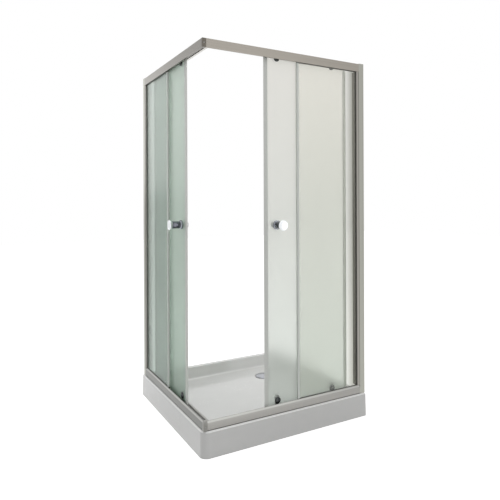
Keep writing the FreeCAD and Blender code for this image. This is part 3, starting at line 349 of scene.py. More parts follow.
def shade(colour):
    """The linear values of a colour given as the eye sees it, 0 to 1."""
    return tuple(((part + 0.055) / 1.055) ** 2.4 if part > 0.04 else part / 12.92 for part in colour) + (1,)


def mixed(tree, mask, first, second):
    """The first colour where the mask is 0, the second where it is 1; each is a triple or an output."""
    blend = add(tree, "ShaderNodeMix", {"data_type": "RGBA"})
    put(tree, blend.inputs[0], mask)
    for socket, colour in ((blend.inputs[6], first), (blend.inputs[7], second)):
        put(tree, socket, shade(colour) if isinstance(colour, tuple) else colour)
    return blend.outputs[2]


def window(tree, given, low, high, soft=0.0003):
    """1 where the value lies from low to high, 0 beyond."""
    return maths(tree, "MULTIPLY", spread(tree, given, 0, 1, low - soft, low),
                 spread(tree, given, 1, 0, high, high + soft))


def watered(tree, roughness, amount, scale):
    """The roughness with dried water on it."""
    return place_group(tree, WATER, Vector=object_place(tree), Roughness=roughness, Amount=amount,
                       Scale=scale)["Roughness"]

# %% Aluminium
# The runs lie along X for the right side, Y for the left side and Z for the uprights, so the same finish is
# made again for each and only the stretched axis changes. The rails are open on one side. Their inside faces
# get a brighter colour than the satin face: painted light, standing in for the light that is thrown back and
# forth between the bare walls; without it the channel reads as a black slot. A thin dark band along the foot
# of each bottom rail is a painted shadow line where the rail sits on the tray.
RUNS = {"right": 0, "left": 1, "upright": 2}
LINES_ACROSS, LINES_ALONG = 1500, 3
PAINTED_INSIDE_LIGHT = {"top": (0.82, 0.81, 0.79), "bottom": (0.66, 0.66, 0.645)}
WALL = 0.0013
PAINTED_FOOT_SHADOW, PAINTED_FOOT_SHADOW_LOW, PAINTED_FOOT_SHADOW_HIGH = (0.12, 0.12, 0.11), 0.003, 0.004


def aluminium(name, run, darker, lighter):
    """Satin aluminium with fine lines along its run; rails get painted light inside, bottom rails a painted
    foot shadow.
    """
    tree, shader = new_material(name, Metallic=1.0)
    stretch = [LINES_ACROSS] * 3
    stretch[RUNS[run]] = LINES_ALONG
    lines = place_group(tree, LINES, Vector=object_place(tree, stretch), Depth=0.25, Distance=0.00006)
    colour = mixed(tree, spread(tree, lines["Lines"], 0, 1), darker, lighter)
    if "rail" in name:
        low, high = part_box(name)
        across = 1 - RUNS[run]
        axes = axes_of(tree, object_place(tree))
        # painted light: the faces inside a rail's open channel get a brighter colour
        painted_light_mask = maths(tree, "MULTIPLY", window(tree, axes[across], low[across] + WALL, high[across] - WALL),
                       window(tree, axes[2], low.z + WALL, high.z - WALL))
        colour = mixed(tree, painted_light_mask, colour, PAINTED_INSIDE_LIGHT[name.split("_")[0]])
        if name.startswith("bottom"):
            # painted shadow: a dark line along the foot of a bottom rail
            foot = spread(tree, axes[2], 1, 0, low.z + PAINTED_FOOT_SHADOW_LOW, low.z + PAINTED_FOOT_SHADOW_HIGH)
            colour = mixed(tree, foot, colour, PAINTED_FOOT_SHADOW)
    fill(tree, shader, Base_Color=colour, Normal=lines["Normal"],
         Roughness=watered(tree, spread(tree, lines["Lines"], 0.30, 0.40), amount=0.12, scale=140.0))


# painted shade: the left rails get darker colours than the right ones, for the less lit side
aluminium("side_post", "upright", (0.56, 0.55, 0.53), (0.61, 0.60, 0.58))
aluminium("top_rail_right", "right", (0.57, 0.55, 0.52), (0.62, 0.60, 0.57))
aluminium("top_rail_left", "left", (0.50, 0.49, 0.47), (0.55, 0.54, 0.52))
aluminium("bottom_rail_right", "right", (0.55, 0.545, 0.53), (0.60, 0.595, 0.58))
aluminium("bottom_rail_left", "left", (0.46, 0.46, 0.45), (0.51, 0.51, 0.50))
aluminium("wall_aluminium", "upright", (0.58, 0.58, 0.55), (0.66, 0.66, 0.63))
print("finishes:", list(FINISH))

# %% [markdown]
# Frosted glass lets light through and scatters it. A rough transmission does that: what stands close behind
# the pane still shows, and what is far away melts into a glow. Its body is faintly green, because iron in
# the glass colours a long path, and that is why the polished edges, where light runs through the whole
# width of the pane, look dark green. The edges are told apart by the face's own direction. Each pane
# belongs to a wall direction, and two faces of a pane look that way; all the others are edges. A frost is a
# roughness and the share of light let through: the doors are rougher than the fixed panes. The roughness
# varies very little over a pane, because more of it shows as marbling. Each pane is darker near the tray
# than at its top, a painted shade. The left panes get darker, greener colours than the right ones: painted
# shade for the less lit side of the same glass. Near the post the right fixed pane is darkened too, a
# painted shade for the post behind it.

# %% Frosted glass
EDGE_GREEN, POST_SHADE = (0.42, 0.60, 0.52), (0.71, 0.71, 0.68)
DOOR_FROST, PANE_FROST, SHADED_FROST = (0.34, 0.72), (0.14, 0.90), (0.25, 0.80)
FOOT_TO_TOP, NEAR_POST, FROST_VARIES = (0.15, 2.0), (0.355, 0.42), 0.01
TURNED_AWAY = (0.4, 0.9)


def frosted_glass(name, across, body, foot, frost, near_post=None):
    """Frosted glass whose faces look along the axis `across`; `foot` is a darker colour near the tray, painted
    shade.
    """
    roughness, clear = frost
    tree, shader = new_material(name, IOR=1.25, Transmission_Weight=clear)
    place = object_place(tree)
    axes = axes_of(tree, place)
    normal = tree.nodes.new("ShaderNodeTexCoord").outputs["Normal"]
    edge = spread(tree, maths(tree, "ABSOLUTE", axes_of(tree, normal)[across]), 1, 0, *TURNED_AWAY)
    # painted shade: each pane darkens towards the tray
    faces = mixed(tree, spread(tree, axes[2], 0, 1, *FOOT_TO_TOP), foot, body)
    if near_post:
        faces = mixed(tree, spread(tree, axes[1 - across], 0, 1, *near_post), faces, POST_SHADE)
    grain = place_group(tree, SKIN, Vector=place, Scale=900.0, Depth=0.04, Distance=0.0001)
    cloud = spread(tree, noise(tree, place, scale=5.0), roughness - FROST_VARIES, roughness + FROST_VARIES)
    fill(tree, shader, Base_Color=mixed(tree, edge, faces, EDGE_GREEN), Normal=grain["Normal"],
         Roughness=watered(tree, cloud, amount=0.008, scale=120.0))


frosted_glass("glass_fixed_right", 1, (1.0, 0.998, 0.985), (0.945, 0.955, 0.935), PANE_FROST, NEAR_POST)
frosted_glass("glass_door_right", 1, (0.965, 0.96, 0.94), (0.895, 0.915, 0.895), DOOR_FROST)
# painted shade: the left panes are darker and greener than the right ones
frosted_glass("glass_fixed_left", 0, (0.815, 0.86, 0.83), (0.755, 0.81, 0.775), SHADED_FROST)
frosted_glass("glass_door_left", 0, (0.82, 0.87, 0.83), (0.72, 0.79, 0.74), DOOR_FROST)
print("glass:", [name for name in FINISH if name.startswith("glass")])

# %% [markdown]
# Acrylic and moulded plastic share a gloss with a faint ripple. The tray's outer edge also catches a line of
# light, and a painted highlight helps it along: the rim's edge gets a whiter colour. Chrome has no colour of
# its own to speak of: it shows the room, so it only needs small wipes in its roughness.

# %% Acrylic, plastics and rubber
RIM_HEIGHT, RIM_SETBACK, RIM_PAINTED_HIGHLIGHT = 0.1215, -0.492, (1.0, 1.0, 0.995)
RIM_FADE, RIM_RISE, GLOSS_VARIES = 0.001, 0.0015, 0.03


def moulded(name, first, second, roughness, scale, depth, coat=0.0, rim=False):
    """Moulded plastic, rubber or acrylic in two close colours; with rim, its outer edge gets a painted
    highlight.
    """
    tree, shader = new_material(name, Coat_Weight=coat, Coat_Roughness=0.05)
    skin = place_group(tree, SKIN, Vector=object_place(tree), Scale=scale, Depth=depth, Distance=0.0004)
    colour = mixed(tree, spread(tree, skin["Mottle"], 0, 1), first, second)
    if rim:
        # painted highlight: a whiter line along the outer edge of the tray's rim
        axes = axes_of(tree, object_place(tree))
        outermost = maths(tree, "MINIMUM", axes[0], axes[1])
        edge = maths(tree, "MULTIPLY", spread(tree, outermost, 1, 0, RIM_SETBACK - RIM_FADE, RIM_SETBACK),
                     spread(tree, axes[2], 0, 1, RIM_HEIGHT, RIM_HEIGHT + RIM_RISE))
        colour = mixed(tree, edge, colour, RIM_PAINTED_HIGHLIGHT)
    dull = spread(tree, skin["Mottle"], roughness - GLOSS_VARIES, roughness + GLOSS_VARIES)
    fill(tree, shader, Base_Color=colour, Normal=skin["Normal"],
         Roughness=watered(tree, dull, amount=0.14, scale=110.0))


moulded("acrylic", (0.856, 0.856, 0.849), (0.864, 0.864, 0.857), 0.18, 14.0, 0.02, coat=0.6, rim=True)
moulded("top_connector", (0.44, 0.41, 0.36), (0.50, 0.47, 0.42), 0.32, 300.0, 0.05, coat=0.3)
moulded("bottom_connector", (0.60, 0.595, 0.57), (0.65, 0.645, 0.62), 0.32, 300.0, 0.05, coat=0.3)
moulded("magnet_seal", (0.86, 0.87, 0.85), (0.90, 0.91, 0.89), 0.45, 260.0, 0.05)
moulded("gasket_rubber", (0.40, 0.40, 0.39), (0.46, 0.46, 0.45), 0.60, 400.0, 0.10)
moulded("washer_rubber", (0.10, 0.10, 0.10), (0.16, 0.16, 0.16), 0.65, 400.0, 0.10)
moulded("stop_rubber", (0.12, 0.12, 0.12), (0.18, 0.18, 0.18), 0.65, 400.0, 0.10)
moulded("trap_plastic", (0.84, 0.84, 0.82), (0.88, 0.88, 0.86), 0.38, 180.0, 0.06)
moulded("tube_plastic", (0.66, 0.66, 0.66), (0.71, 0.71, 0.71), 0.40, 180.0, 0.06)
moulded("foot_plastic", (0.13, 0.13, 0.13), (0.18, 0.18, 0.18), 0.50, 240.0, 0.12)
moulded("housing_plastic", (0.27, 0.27, 0.28), (0.33, 0.33, 0.34), 0.42, 320.0, 0.08)
moulded("carriage_plastic", (0.33, 0.33, 0.34), (0.39, 0.39, 0.40), 0.40, 320.0, 0.08)
moulded("wheel_nylon", (0.88, 0.88, 0.85), (0.93, 0.93, 0.90), 0.36, 380.0, 0.05)
moulded("clear_seal", (0.87, 0.89, 0.87), (0.92, 0.93, 0.91), 0.30, 200.0, 0.05)
print("finishes so far:", len(FINISH))

# %% Chrome and steel
WIPES = (60, 60, 14)


def bright_metal(name, first, second, roughness, wear=0.05):
    """Polished or turned metal: faint wipes vary its roughness, water leaves a few dull spots."""
    tree, shader = new_material(name, Metallic=1.0)
    wipes = noise(tree, object_place(tree, WIPES), detail=3.0)
    fill(tree, shader, Base_Color=mixed(tree, spread(tree, wipes, 0, 1), first, second),
         Roughness=watered(tree, spread(tree, wipes, roughness, roughness + wear), amount=wear, scale=260.0))


bright_metal("knob_chrome", (0.54, 0.56, 0.59), (0.62, 0.63, 0.66), 0.07)
# painted reflections: a darker chrome for the knob's barrel, a paler one for its end
bright_metal("barrel_chrome", (0.34, 0.35, 0.38), (0.44, 0.45, 0.48), 0.09)
bright_metal("end_chrome", (0.86, 0.87, 0.88), (0.90, 0.91, 0.92), 0.20)
bright_metal("inner_knob_chrome", (0.72, 0.72, 0.73), (0.80, 0.80, 0.81), 0.08)
bright_metal("cover_chrome", (0.64, 0.65, 0.67), (0.68, 0.69, 0.71), 0.10, 0.02)
bright_metal("roller_cap", (0.20, 0.21, 0.21), (0.27, 0.28, 0.28), 0.26)
bright_metal("screw_steel", (0.62, 0.62, 0.62), (0.70, 0.70, 0.70), 0.24, 0.08)
bright_metal("hanger_steel", (0.62, 0.62, 0.62), (0.70, 0.70, 0.70), 0.26, 0.10)
bright_metal("spring_steel", (0.58, 0.58, 0.58), (0.68, 0.68, 0.68), 0.24, 0.10)
bright_metal("nut_steel", (0.64, 0.64, 0.61), (0.72, 0.71, 0.66), 0.34, 0.12)
bright_metal("waste_steel", (0.66, 0.66, 0.66), (0.74, 0.74, 0.74), 0.22, 0.10)
bright_metal("zinc_bolt", (0.66, 0.66, 0.62), (0.74, 0.73, 0.67), 0.34, 0.12)
print("finishes so far:", len(FINISH))

# %% [markdown]
# The pieces under the tray are plain workshop materials: pressed board and painted steel tube. The board
# is made of flakes, which a Voronoi texture gives directly: each cell is one flake with its own shade.

# %% Board and painted steel
def pressed_board():
    """Flat flakes in a few browns."""
    tree, shader = new_material("board", Roughness=0.82)
    flakes = add(tree, "ShaderNodeTexVoronoi", Vector=object_place(tree, (1, 1, 3)), Scale=120.0)
    tone = add(tree, "ShaderNodeSeparateColor", Color=flakes.outputs["Color"]).outputs["Red"]
    dust = spread(tree, noise(tree, object_place(tree), scale=400.0, detail=3.0), 0, 0.3, start=0.4, end=0.8)
    bump = add(tree, "ShaderNodeBump", Strength=0.3, Distance=0.0006, Height=tone)
    tint = mixed(tree, tone, (0.58, 0.46, 0.32), (0.78, 0.66, 0.49))
    fill(tree, shader, Base_Color=mixed(tree, dust, tint, (0.45, 0.34, 0.22)), Normal=bump.outputs["Normal"])


def painted_steel():
    """Grey paint with a little orange peel, rubbed through in places."""
    tree, shader = new_material("bar_steel")
    skin = place_group(tree, SKIN, Vector=object_place(tree), Scale=500.0, Depth=0.2, Distance=0.0003)
    rub = noise(tree, object_place(tree, (3, 40, 40)), detail=4.0)
    bare = spread(tree, rub, 0, 1, start=0.66, end=0.74)
    fill(tree, shader, Base_Color=mixed(tree, bare, (0.34, 0.35, 0.36), (0.55, 0.54, 0.52)),
         Roughness=spread(tree, skin["Mottle"], 0.38, 0.50), Normal=skin["Normal"])


pressed_board()
painted_steel()
print("all finishes:", len(FINISH))

# %% Finishes on the solids
# Each solid keeps its shape and takes the finish of its own slot. Rails and posts share a slot but not a
# direction, and the two corner connectors have different colours, so those look up a finish of their own.
SLOT_OF = {row["node"]: row["material_slot"] for row in frame["record"]["subparts"]}


def finish_of(node):
    """The material for a node, by its slot and, for drawn metal, its run."""
    if SLOT_OF[node] == "frame_aluminium":
        return FINISH["side_post" if node.startswith("side_post") else node]
    if SLOT_OF[node] == "corner_plastic":
        return FINISH[node.replace("_corner", "")]
    return FINISH[SLOT_OF[node]]


for name, solid in NODES.items():
    solid.data.materials.clear()
    solid.data.materials.append(finish_of(name))
print("dressed:", len(NODES))

# %% [markdown]
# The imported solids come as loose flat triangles, so rounded edges show facets and catch light badly. Their
# meshes are to stay as they are, but a modifier may sit on top: this small tree merges the corners that
# meet and shades each surface smooth, except across edges sharper than the crease angle.

# %% Smooth shading for the solids
CREASE, TOUCHING = math.radians(38), 0.00001


def smoothing_tree():
    """Merges touching corners and keeps only sharp edges hard."""
    tree, given, result = new_group("smooth_between_creases", [("Geometry", GEOMETRY, None)],
                                    [("Geometry", GEOMETRY)], "GeometryNodeTree")
    merged = add(tree, "GeometryNodeMergeByDistance", Geometry=given["Geometry"], Distance=TOUCHING)
    smooth = add(tree, "GeometryNodeSetShadeSmooth", {"domain": "FACE"}, Geometry=merged.outputs["Geometry"],
                 Shade_Smooth=True)
    angle = tree.nodes.new("GeometryNodeInputMeshEdgeAngle")
    sharp = add(tree, "FunctionNodeCompare", {"data_type": "FLOAT", "operation": "GREATER_THAN"})
    put(tree, sharp.inputs[0], angle.outputs["Unsigned Angle"])
    put(tree, sharp.inputs[1], CREASE)
    hard = add(tree, "GeometryNodeSetShadeSmooth", {"domain": "EDGE"}, Geometry=smooth.outputs["Geometry"],
               Selection=sharp.outputs["Result"], Shade_Smooth=False)
    fill(tree, result, Geometry=hard.outputs["Geometry"])
    return tree


SMOOTHING = smoothing_tree()
for solid in NODES.values():
    solid.modifiers.new("smoothing", "NODES").node_group = SMOOTHING
print("smoothed:", len(NODES))

# %% [markdown]
# ## Turned pieces
#
# Knobs, wheels and covers are turned, so one outline spun round an axis makes each of them. Blender has a
# Screw modifier for that, but a small function that builds the rings itself also closes the poles and lets
# us soften every corner of the outline first. Real turned metal has no perfectly sharp edge: the small
# radius catches a line of light, and that line is what the eye reads as an edge.

# %% Turning helpers
MM = 0.001
ROUND_SIDES = 72
MOST_CUT, POLE = 0.45, 0.001
OUTWARD = {"right": (0, -1, 0), "left": (-1, 0, 0)}
INWARD = {"right": (0, 1, 0), "left": (1, 0, 0)}


def seat(box, side, outside):
    """The middle of a box's face towards the glass, for a piece that sits outside or inside a side's door."""
    low, high = box
    point = (low + high) / 2
    across = 1 - RUNS[side]
    point[across] = (high if outside else low)[across]
    return point


def softened(outline, radius, steps=4):
    """The outline, in mm, with each inner corner rounded by up to the radius."""
    points = [Vector(point) for point in outline]
    soft = [points[0]]
    for before, corner, after in zip(points, points[1:], points[2:]):
        back, ahead = before - corner, after - corner
        reach = min(radius, back.length * MOST_CUT, ahead.length * MOST_CUT)
        start, end = corner + back.normalized() * reach, corner + ahead.normalized() * reach
        for step in range(steps + 1):
            part = step / steps
            soft.append(start * (1 - part) ** 2 + corner * 2 * part * (1 - part) + end * part ** 2)
    return soft + [points[-1]]


def mesh_of(shell, name):
    """Turns worked geometry into a mesh that an object can hold."""
    mesh_data = bpy.data.meshes.new(name)
    shell.to_mesh(mesh_data)
    shell.free()
    return mesh_data


def finished(name, mesh_data, finish, body, slot_name, *stands_for):
    """Shades a mesh, gives it its finish, and puts it on its body in place of the solids it stands for."""
    for polygon in mesh_data.polygons:
        polygon.use_smooth = True
    mesh_data.set_sharp_from_angle(angle=CREASE)
    mesh_data.materials.clear()
    mesh_data.materials.append(FINISH[finish])
    piece = bpy.data.objects.new(name, mesh_data)
    bpy.context.scene.collection.objects.link(piece)
    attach(piece, body)
    if stands_for:
        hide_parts(*stands_for)
    return piece


def spun(name, outline, foot, outward, closed=False, sides=ROUND_SIDES):
    """A mesh from an outline of (radius, distance) in mm, spun round the line from the foot outwards."""
    axis = Vector(outward).normalized()
    across = axis.orthogonal().normalized()
    other = axis.cross(across)
    shell = bmesh.new()
    rings = []
    for radius, distance in outline:
        middle = Vector(foot) + axis * distance * MM
        count = sides if radius > POLE else 1
        turns = [2 * math.pi * step / count for step in range(count)]
        spokes = [across * math.cos(turn) + other * math.sin(turn) for turn in turns]
        rings.append([shell.verts.new(middle + spoke * radius * MM) for spoke in spokes])
    pairs = list(zip(rings, rings[1:]))
    if closed:
        pairs.append((rings[-1], rings[0]))
    for first, second in pairs:
        for step in range(sides):
            around = [first[step % len(first)], first[(step + 1) % len(first)],
                      second[(step + 1) % len(second)], second[step % len(second)]]
            corners_of_face = list(dict.fromkeys(around))
            if len(corners_of_face) > 2:
                shell.faces.new(corners_of_face)
    bmesh.ops.recalc_face_normals(shell, faces=shell.faces)
    return mesh_of(shell, name)


def joined(name, meshes):
    """One mesh from several."""
    shell = bmesh.new()
    for part in meshes:
        shell.from_mesh(part)
    return mesh_of(shell, name)


print("sides of a turned piece:", ROUND_SIDES)

# %% [markdown]
# Each outer knob reads as three parts: a ring against the glass, a darker barrel with two fine grooves, and
# a pale flared end that the fingers hold. They are made as three pieces, so that each takes its own finish:
# the barrel's darker chrome is a painted dark reflection, the end's paler chrome a painted bright one. The
# end's face is slightly hollow, which bends its reflection and keeps it from looking like a flat disc.

# %% Outer knobs
SCREW_BORE = 3.1
KNOB_RING = [(SCREW_BORE, 0), (22.5, 0), (24, 1.5), (24, 9), (22.6, 12), (21, 13.2), (19.4, 13.4),
             (SCREW_BORE, 13.4)]
KNOB_BARREL = [(SCREW_BORE, 13.4), (19.5, 13.4), (19.5, 17.5), (18.9, 18.1), (18.9, 19.1), (19.5, 19.7),
               (19.5, 50.5), (18.9, 51.1), (18.9, 52.1), (19.5, 52.7), (19.5, 56), (18, 57), (0, 57), (0, 22),
               (SCREW_BORE, 22)]
KNOB_END = [(0, 57), (19.6, 57), (20.4, 60), (22.4, 64), (25.6, 67), (27, 68.4), (27, 70.6), (25.6, 72),
            (24.2, 71.8), (21, 70.9), (10, 70.2), (0, 70)]

for side in ("right", "left"):
    foot, body = seat(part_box(f"knob_{side}"), side, True), f"{side}_door"
    ring = spun(f"knob_ring_{side}", softened(KNOB_RING, 0.8), foot, OUTWARD[side], closed=True)
    finished(f"knob_ring_{side}", ring, "knob_chrome", body, "knob_chrome")
    barrel = spun(f"knob_barrel_{side}", softened(KNOB_BARREL, 0.3), foot, OUTWARD[side], closed=True)
    finished(f"knob_barrel_{side}", barrel, "barrel_chrome", body, "knob_chrome")
    end = spun(f"knob_end_{side}", softened(KNOB_END, 1.2), foot, OUTWARD[side])
    finished(f"knob_end_{side}", end, "end_chrome", body, "knob_chrome", f"knob_{side}")
    print(side, "knob from the glass at", [round(number, 4) for number in foot])

# %% [markdown]
# The knob inside the cabin is shorter and has a hollow round its screw. Its outline starts and ends at the
# bore, so the spun mesh is a closed ring instead of a solid from pole to pole.

# %% Inner knobs
INNER_KNOB = [(SCREW_BORE, 0), (18, 0), (18, 2.5), (13, 6), (12, 11), (15, 17), (18, 20), (18, 26), (16, 28),
              (6.1, 28), (6.1, 23), (SCREW_BORE, 23)]
for side in ("right", "left"):
    foot = seat(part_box(f"inner_knob_{side}"), side, False)
    inner = spun(f"inner_knob_turned_{side}", softened(INNER_KNOB, 1.0), foot, INWARD[side], closed=True)
    finished(f"inner_knob_turned_{side}", inner, "inner_knob_chrome", f"{side}_door", "inner_knob_chrome",
             f"inner_knob_{side}")
    print(side, "inner knob from the glass at", [round(number, 4) for number in foot])

# %% [markdown]
# The cover over the waste is one bright disc with a low crown, a fine ring near its edge and a shadow gap
# under its rim. It stands on four short legs, and the gap between it and the dish lets the water out.

# %% Drain cover
COVER = [(0, 0), (4, 0), (4, 8.5), (53, 8.5), (53, 7.5), (56, 7.5), (56, 10), (54.4, 11.2), (51, 11.9),
         (49.6, 11.6), (48.2, 12.1), (34, 12.6), (16, 12.9), (0, 13)]
LEG, LEG_REACH, LEG_SIDES = [(0, 5.5), (3, 5.5), (3, 9), (0, 9)], 48, 24
UP = (0, 0, 1)
low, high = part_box("drain_cover")
foot = Vector(((low.x + high.x) / 2, (low.y + high.y) / 2, low.z))
disc = spun("disc", softened(COVER, 0.9), foot, UP)
legs = [spun("leg", softened(LEG, 0.4, steps=2), foot + Vector((x, y, 0)) * LEG_REACH * MM, UP,
             sides=LEG_SIDES) for x, y in ((1, 0), (0, 1), (-1, 0), (0, -1))]
cover = joined("drain_cover_turned", [disc, *legs])
finished("drain_cover_turned", cover, "cover_chrome", "drain", "cover_chrome", "drain_cover")
print("cover across, mm:", 2 * max(radius for radius, height in COVER), "top at", round(high.z, 4))

# %% [markdown]
# ## Repeated pieces with Geometry Nodes
#
# The doors carry eight round caps, and the frame has eight screws. Geometry Nodes put one shape on many
# points: we give the tree a mesh of bare points, and it places an instance on each. Each point carries the
# direction its copy faces as an attribute of its own. The shape itself is built inside the tree too, from a
# flat disc whose top face is lifted and scaled step by step, like a stack of plates. The points come from
# the solids: `islands` finds each separate solid inside a node.

# %% Geometry Nodes helpers
def islands(node):
    """The lowest and highest corners of each separate solid of a node."""
    shell = bmesh.new()
    shell.from_mesh(NODES[node].data)
    bmesh.ops.remove_doubles(shell, verts=shell.verts, dist=TOUCHING)
    waiting, found = set(shell.verts), []
    while waiting:
        edge_of_search = [waiting.pop()]
        solid = list(edge_of_search)
        while edge_of_search:
            vertex = edge_of_search.pop()
            for edge in vertex.link_edges:
                other = edge.other_vert(vertex)
                if other in waiting:
                    waiting.remove(other)
                    edge_of_search.append(other)
                    solid.append(other)
        places = [vertex.co for vertex in solid]
        found.append((Vector([min(place[axis] for place in places) for axis in range(3)]),
                      Vector([max(place[axis] for place in places) for axis in range(3)])))
    shell.free()
    return sorted(found, key=lambda corners: [round(number, 5) for number in corners[0]])


def new_growth(name):
    """A Geometry Nodes tree that takes places, two sizes and a material."""
    inputs = [("Places", GEOMETRY, None), ("Radius", FLOAT, 0.01), ("Thickness", FLOAT, 0.003),
              ("Material", "NodeSocketMaterial", None)]
    return new_group(name, inputs, [("Geometry", GEOMETRY)], "GeometryNodeTree")


def lifted(tree, mesh, top, rise, scale):
    """Lifts the top face and scales it; returns the mesh and its new top."""
    raised = add(tree, "GeometryNodeExtrudeMesh", {"mode": "FACES"}, Mesh=mesh, Offset=(0, 0, 1),
                 Offset_Scale=rise, Individual=False)
    if top is not None:
        put(tree, raised.inputs["Selection"], top)
    scaled = add(tree, "GeometryNodeScaleElements", {"domain": "FACE"}, Geometry=raised.outputs["Mesh"],
                 Selection=raised.outputs["Top"], Scale=scale)
    return scaled.outputs["Geometry"], raised.outputs["Top"]


def step_stack(tree, radius, thickness, steps, sides):
    """A closed disc raised by steps of (share of the thickness, scale of the new top)."""
    blank = add(tree, "GeometryNodeMeshCircle", {"fill_type": "NGON"}, Vertices=sides, Radius=radius)
    mesh, top = blank.outputs["Mesh"], None
    for share, scale in steps:
        mesh, top = lifted(tree, mesh, top, maths(tree, "MULTIPLY", thickness, share), scale)
    sole = add(tree, "GeometryNodeFlipFaces", Mesh=blank.outputs["Mesh"])
    whole = tree.nodes.new("GeometryNodeJoinGeometry")
    put(tree, whole.inputs[0], mesh)
    put(tree, whole.inputs[0], sole.outputs["Mesh"])
    return add(tree, "GeometryNodeMergeByDistance", Geometry=whole.outputs["Geometry"],
               Distance=TOUCHING).outputs["Geometry"]


def placed(tree, given, result, shape):
    """One shape on every place, turned to look outwards, made real and given its finish."""
    outward = add(tree, "GeometryNodeInputNamedAttribute", {"data_type": "FLOAT_VECTOR"}, Name="outward")
    turn = add(tree, "FunctionNodeAlignRotationToVector", {"axis": "Z"}, Vector=outward.outputs["Attribute"])
    copies = add(tree, "GeometryNodeInstanceOnPoints", Points=given["Places"], Instance=shape,
                 Rotation=turn.outputs["Rotation"])
    solid = add(tree, "GeometryNodeRealizeInstances", Geometry=copies.outputs["Instances"])
    dressed = add(tree, "GeometryNodeSetMaterial", Geometry=solid.outputs["Geometry"],
                  Material=given["Material"])
    fill(tree, result, Geometry=dressed.outputs["Geometry"])


def grown(name, places, outwards, tree, **inputs):
    """Runs a tree on bare points, each with its direction, and returns the result as a plain mesh."""
    points = bpy.data.meshes.new(name + "_places")
    points.from_pydata([tuple(place) for place in places], [], [])
    direction = points.attributes.new("outward", "FLOAT_VECTOR", "POINT")
    for number, outward in enumerate(outwards):
        direction.data[number].vector = outward
    holder = bpy.data.objects.new(name + "_holder", points)
    bpy.context.scene.collection.objects.link(holder)
    growth = holder.modifiers.new("growth", "NODES")
    growth.node_group = tree
    for item in tree.interface.items_tree:
        if item.in_out == "INPUT" and item.name in inputs:
            growth[item.identifier] = inputs[item.name]
    state = bpy.context.evaluated_depsgraph_get()
    mesh_data = bpy.data.meshes.new_from_object(holder.evaluated_get(state), depsgraph=state)
    mesh_data.name = name
    bpy.data.objects.remove(holder)
    return mesh_data


print("solids in the right caps' node:", len(islands("roller_caps_right")))

# %% Roller caps
CAP_RADIUS, CAP_THICKNESS, CAP_SIDES = 0.017, 0.0045, 56
CAP_STEPS = [(0.35, 0.99), (0.25, 0.95), (0.20, 0.86), (-0.08, 0.94), (0.0, 0.97), (0.10, 0.94),
             (0.10, 0.72), (0.06, 0.45), (0.02, 0.30)]


def cap_tree():
    """A dished cap: a bevelled rim, a fine groove and a low crown in the middle."""
    tree, given, result = new_growth("round_caps")
    placed(tree, given, result, step_stack(tree, given["Radius"], given["Thickness"], CAP_STEPS, CAP_SIDES))
    return tree


CAPS = cap_tree()
for side in ("right", "left"):
    places = [seat(box, side, True) for box in islands(f"roller_caps_{side}")]
    caps = grown(f"round_caps_{side}", places, [OUTWARD[side]] * len(places), CAPS, Radius=CAP_RADIUS,
                 Thickness=CAP_THICKNESS, Material=FINISH["roller_cap"])
    finished(f"round_caps_{side}", caps, "roller_cap", f"{side}_door", "roller_cap", f"roller_caps_{side}")
    print(side, "caps:", len(places), "faces:", len(caps.polygons))

# %% [markdown]
# The screws face different ways, which is where the direction on each point pays off: one tree makes them
# all. A Boolean inside the tree cuts the cross in each head: two thin blocks are taken out of the crown.

# %% Screws
SHANK, SCREW_SIDES = 0.20, 32
SCREW_STEPS = [(0.10, 2.6), (0.76, 1.0), (0.0, 1.92), (0.07, 1.0), (0.05, 0.86), (0.02, 0.60)]
CROSS_LONG, CROSS_THIN, CROSS_DEEP = 1.15, 0.26, 0.16


def screw_tree():
    """A pan-head screw: pointed end, shank, crowned head and a cross recess."""
    tree, given, result = new_growth("cross_head_screws")
    head, length = given["Radius"], given["Thickness"]
    body = step_stack(tree, maths(tree, "MULTIPLY", head, SHANK), length, SCREW_STEPS, SCREW_SIDES)
    recess = add(tree, "GeometryNodeMeshBoolean", {"operation": "DIFFERENCE"}, Mesh_1=body)
    lift = add(tree, "ShaderNodeCombineXYZ", Z=length)
    for wide, deep in ((CROSS_LONG, CROSS_THIN), (CROSS_THIN, CROSS_LONG)):
        size = add(tree, "ShaderNodeCombineXYZ", X=maths(tree, "MULTIPLY", head, wide),
                   Y=maths(tree, "MULTIPLY", head, deep), Z=maths(tree, "MULTIPLY", length, CROSS_DEEP))
        arm = add(tree, "GeometryNodeMeshCube", Size=size.outputs["Vector"])
        moved = add(tree, "GeometryNodeTransform", Geometry=arm.outputs["Mesh"],
                    Translation=lift.outputs["Vector"])
        fill(tree, recess, Mesh_2=moved.outputs["Geometry"])
    placed(tree, given, result, recess.outputs["Mesh"])
    return tree


SCREWS = screw_tree()


def screws_along(node, head_low):
    """Tips and directions of a node's screws; the head is at the low or the high end of each."""
    tips, outwards = [], []
    for low, high in islands(node):
        size = high - low
        axis = max(range(3), key=lambda number: size[number])
        tip = (low + high) / 2
        tip[axis] = high[axis] if head_low else low[axis]
        outward = Vector((0, 0, 0))
        outward[axis] = -1 if head_low else 1
        tips.append(tip)
        outwards.append(outward)
    return tips, outwards, size[axis]


for node, name, head_low, head_radius in (("frame_screws", "frame_screws_made", False, 0.0035),
                                          ("corner_screws", "corner_screws_made", True, 0.0033)):
    tips, outwards, length = screws_along(node, head_low)
    screws = grown(name, tips, outwards, SCREWS, Radius=head_radius, Thickness=length,
                   Material=FINISH["screw_steel"])
    finished(name, screws, "screw_steel", "enclosure", "screw_steel", node)
    print(node, len(tips), "length, mm:", round(length / MM, 1), "faces:", len(screws.polygons))

# %% [markdown]
# The wheels are nylon with a recessed web on each side and a groove that runs on the rail's bead. Nothing
# hides them once a door is looked at from inside the cabin, so their edges are softened like the knobs'.
# Each wheel is a piece of its own, because each turns on its own axle.

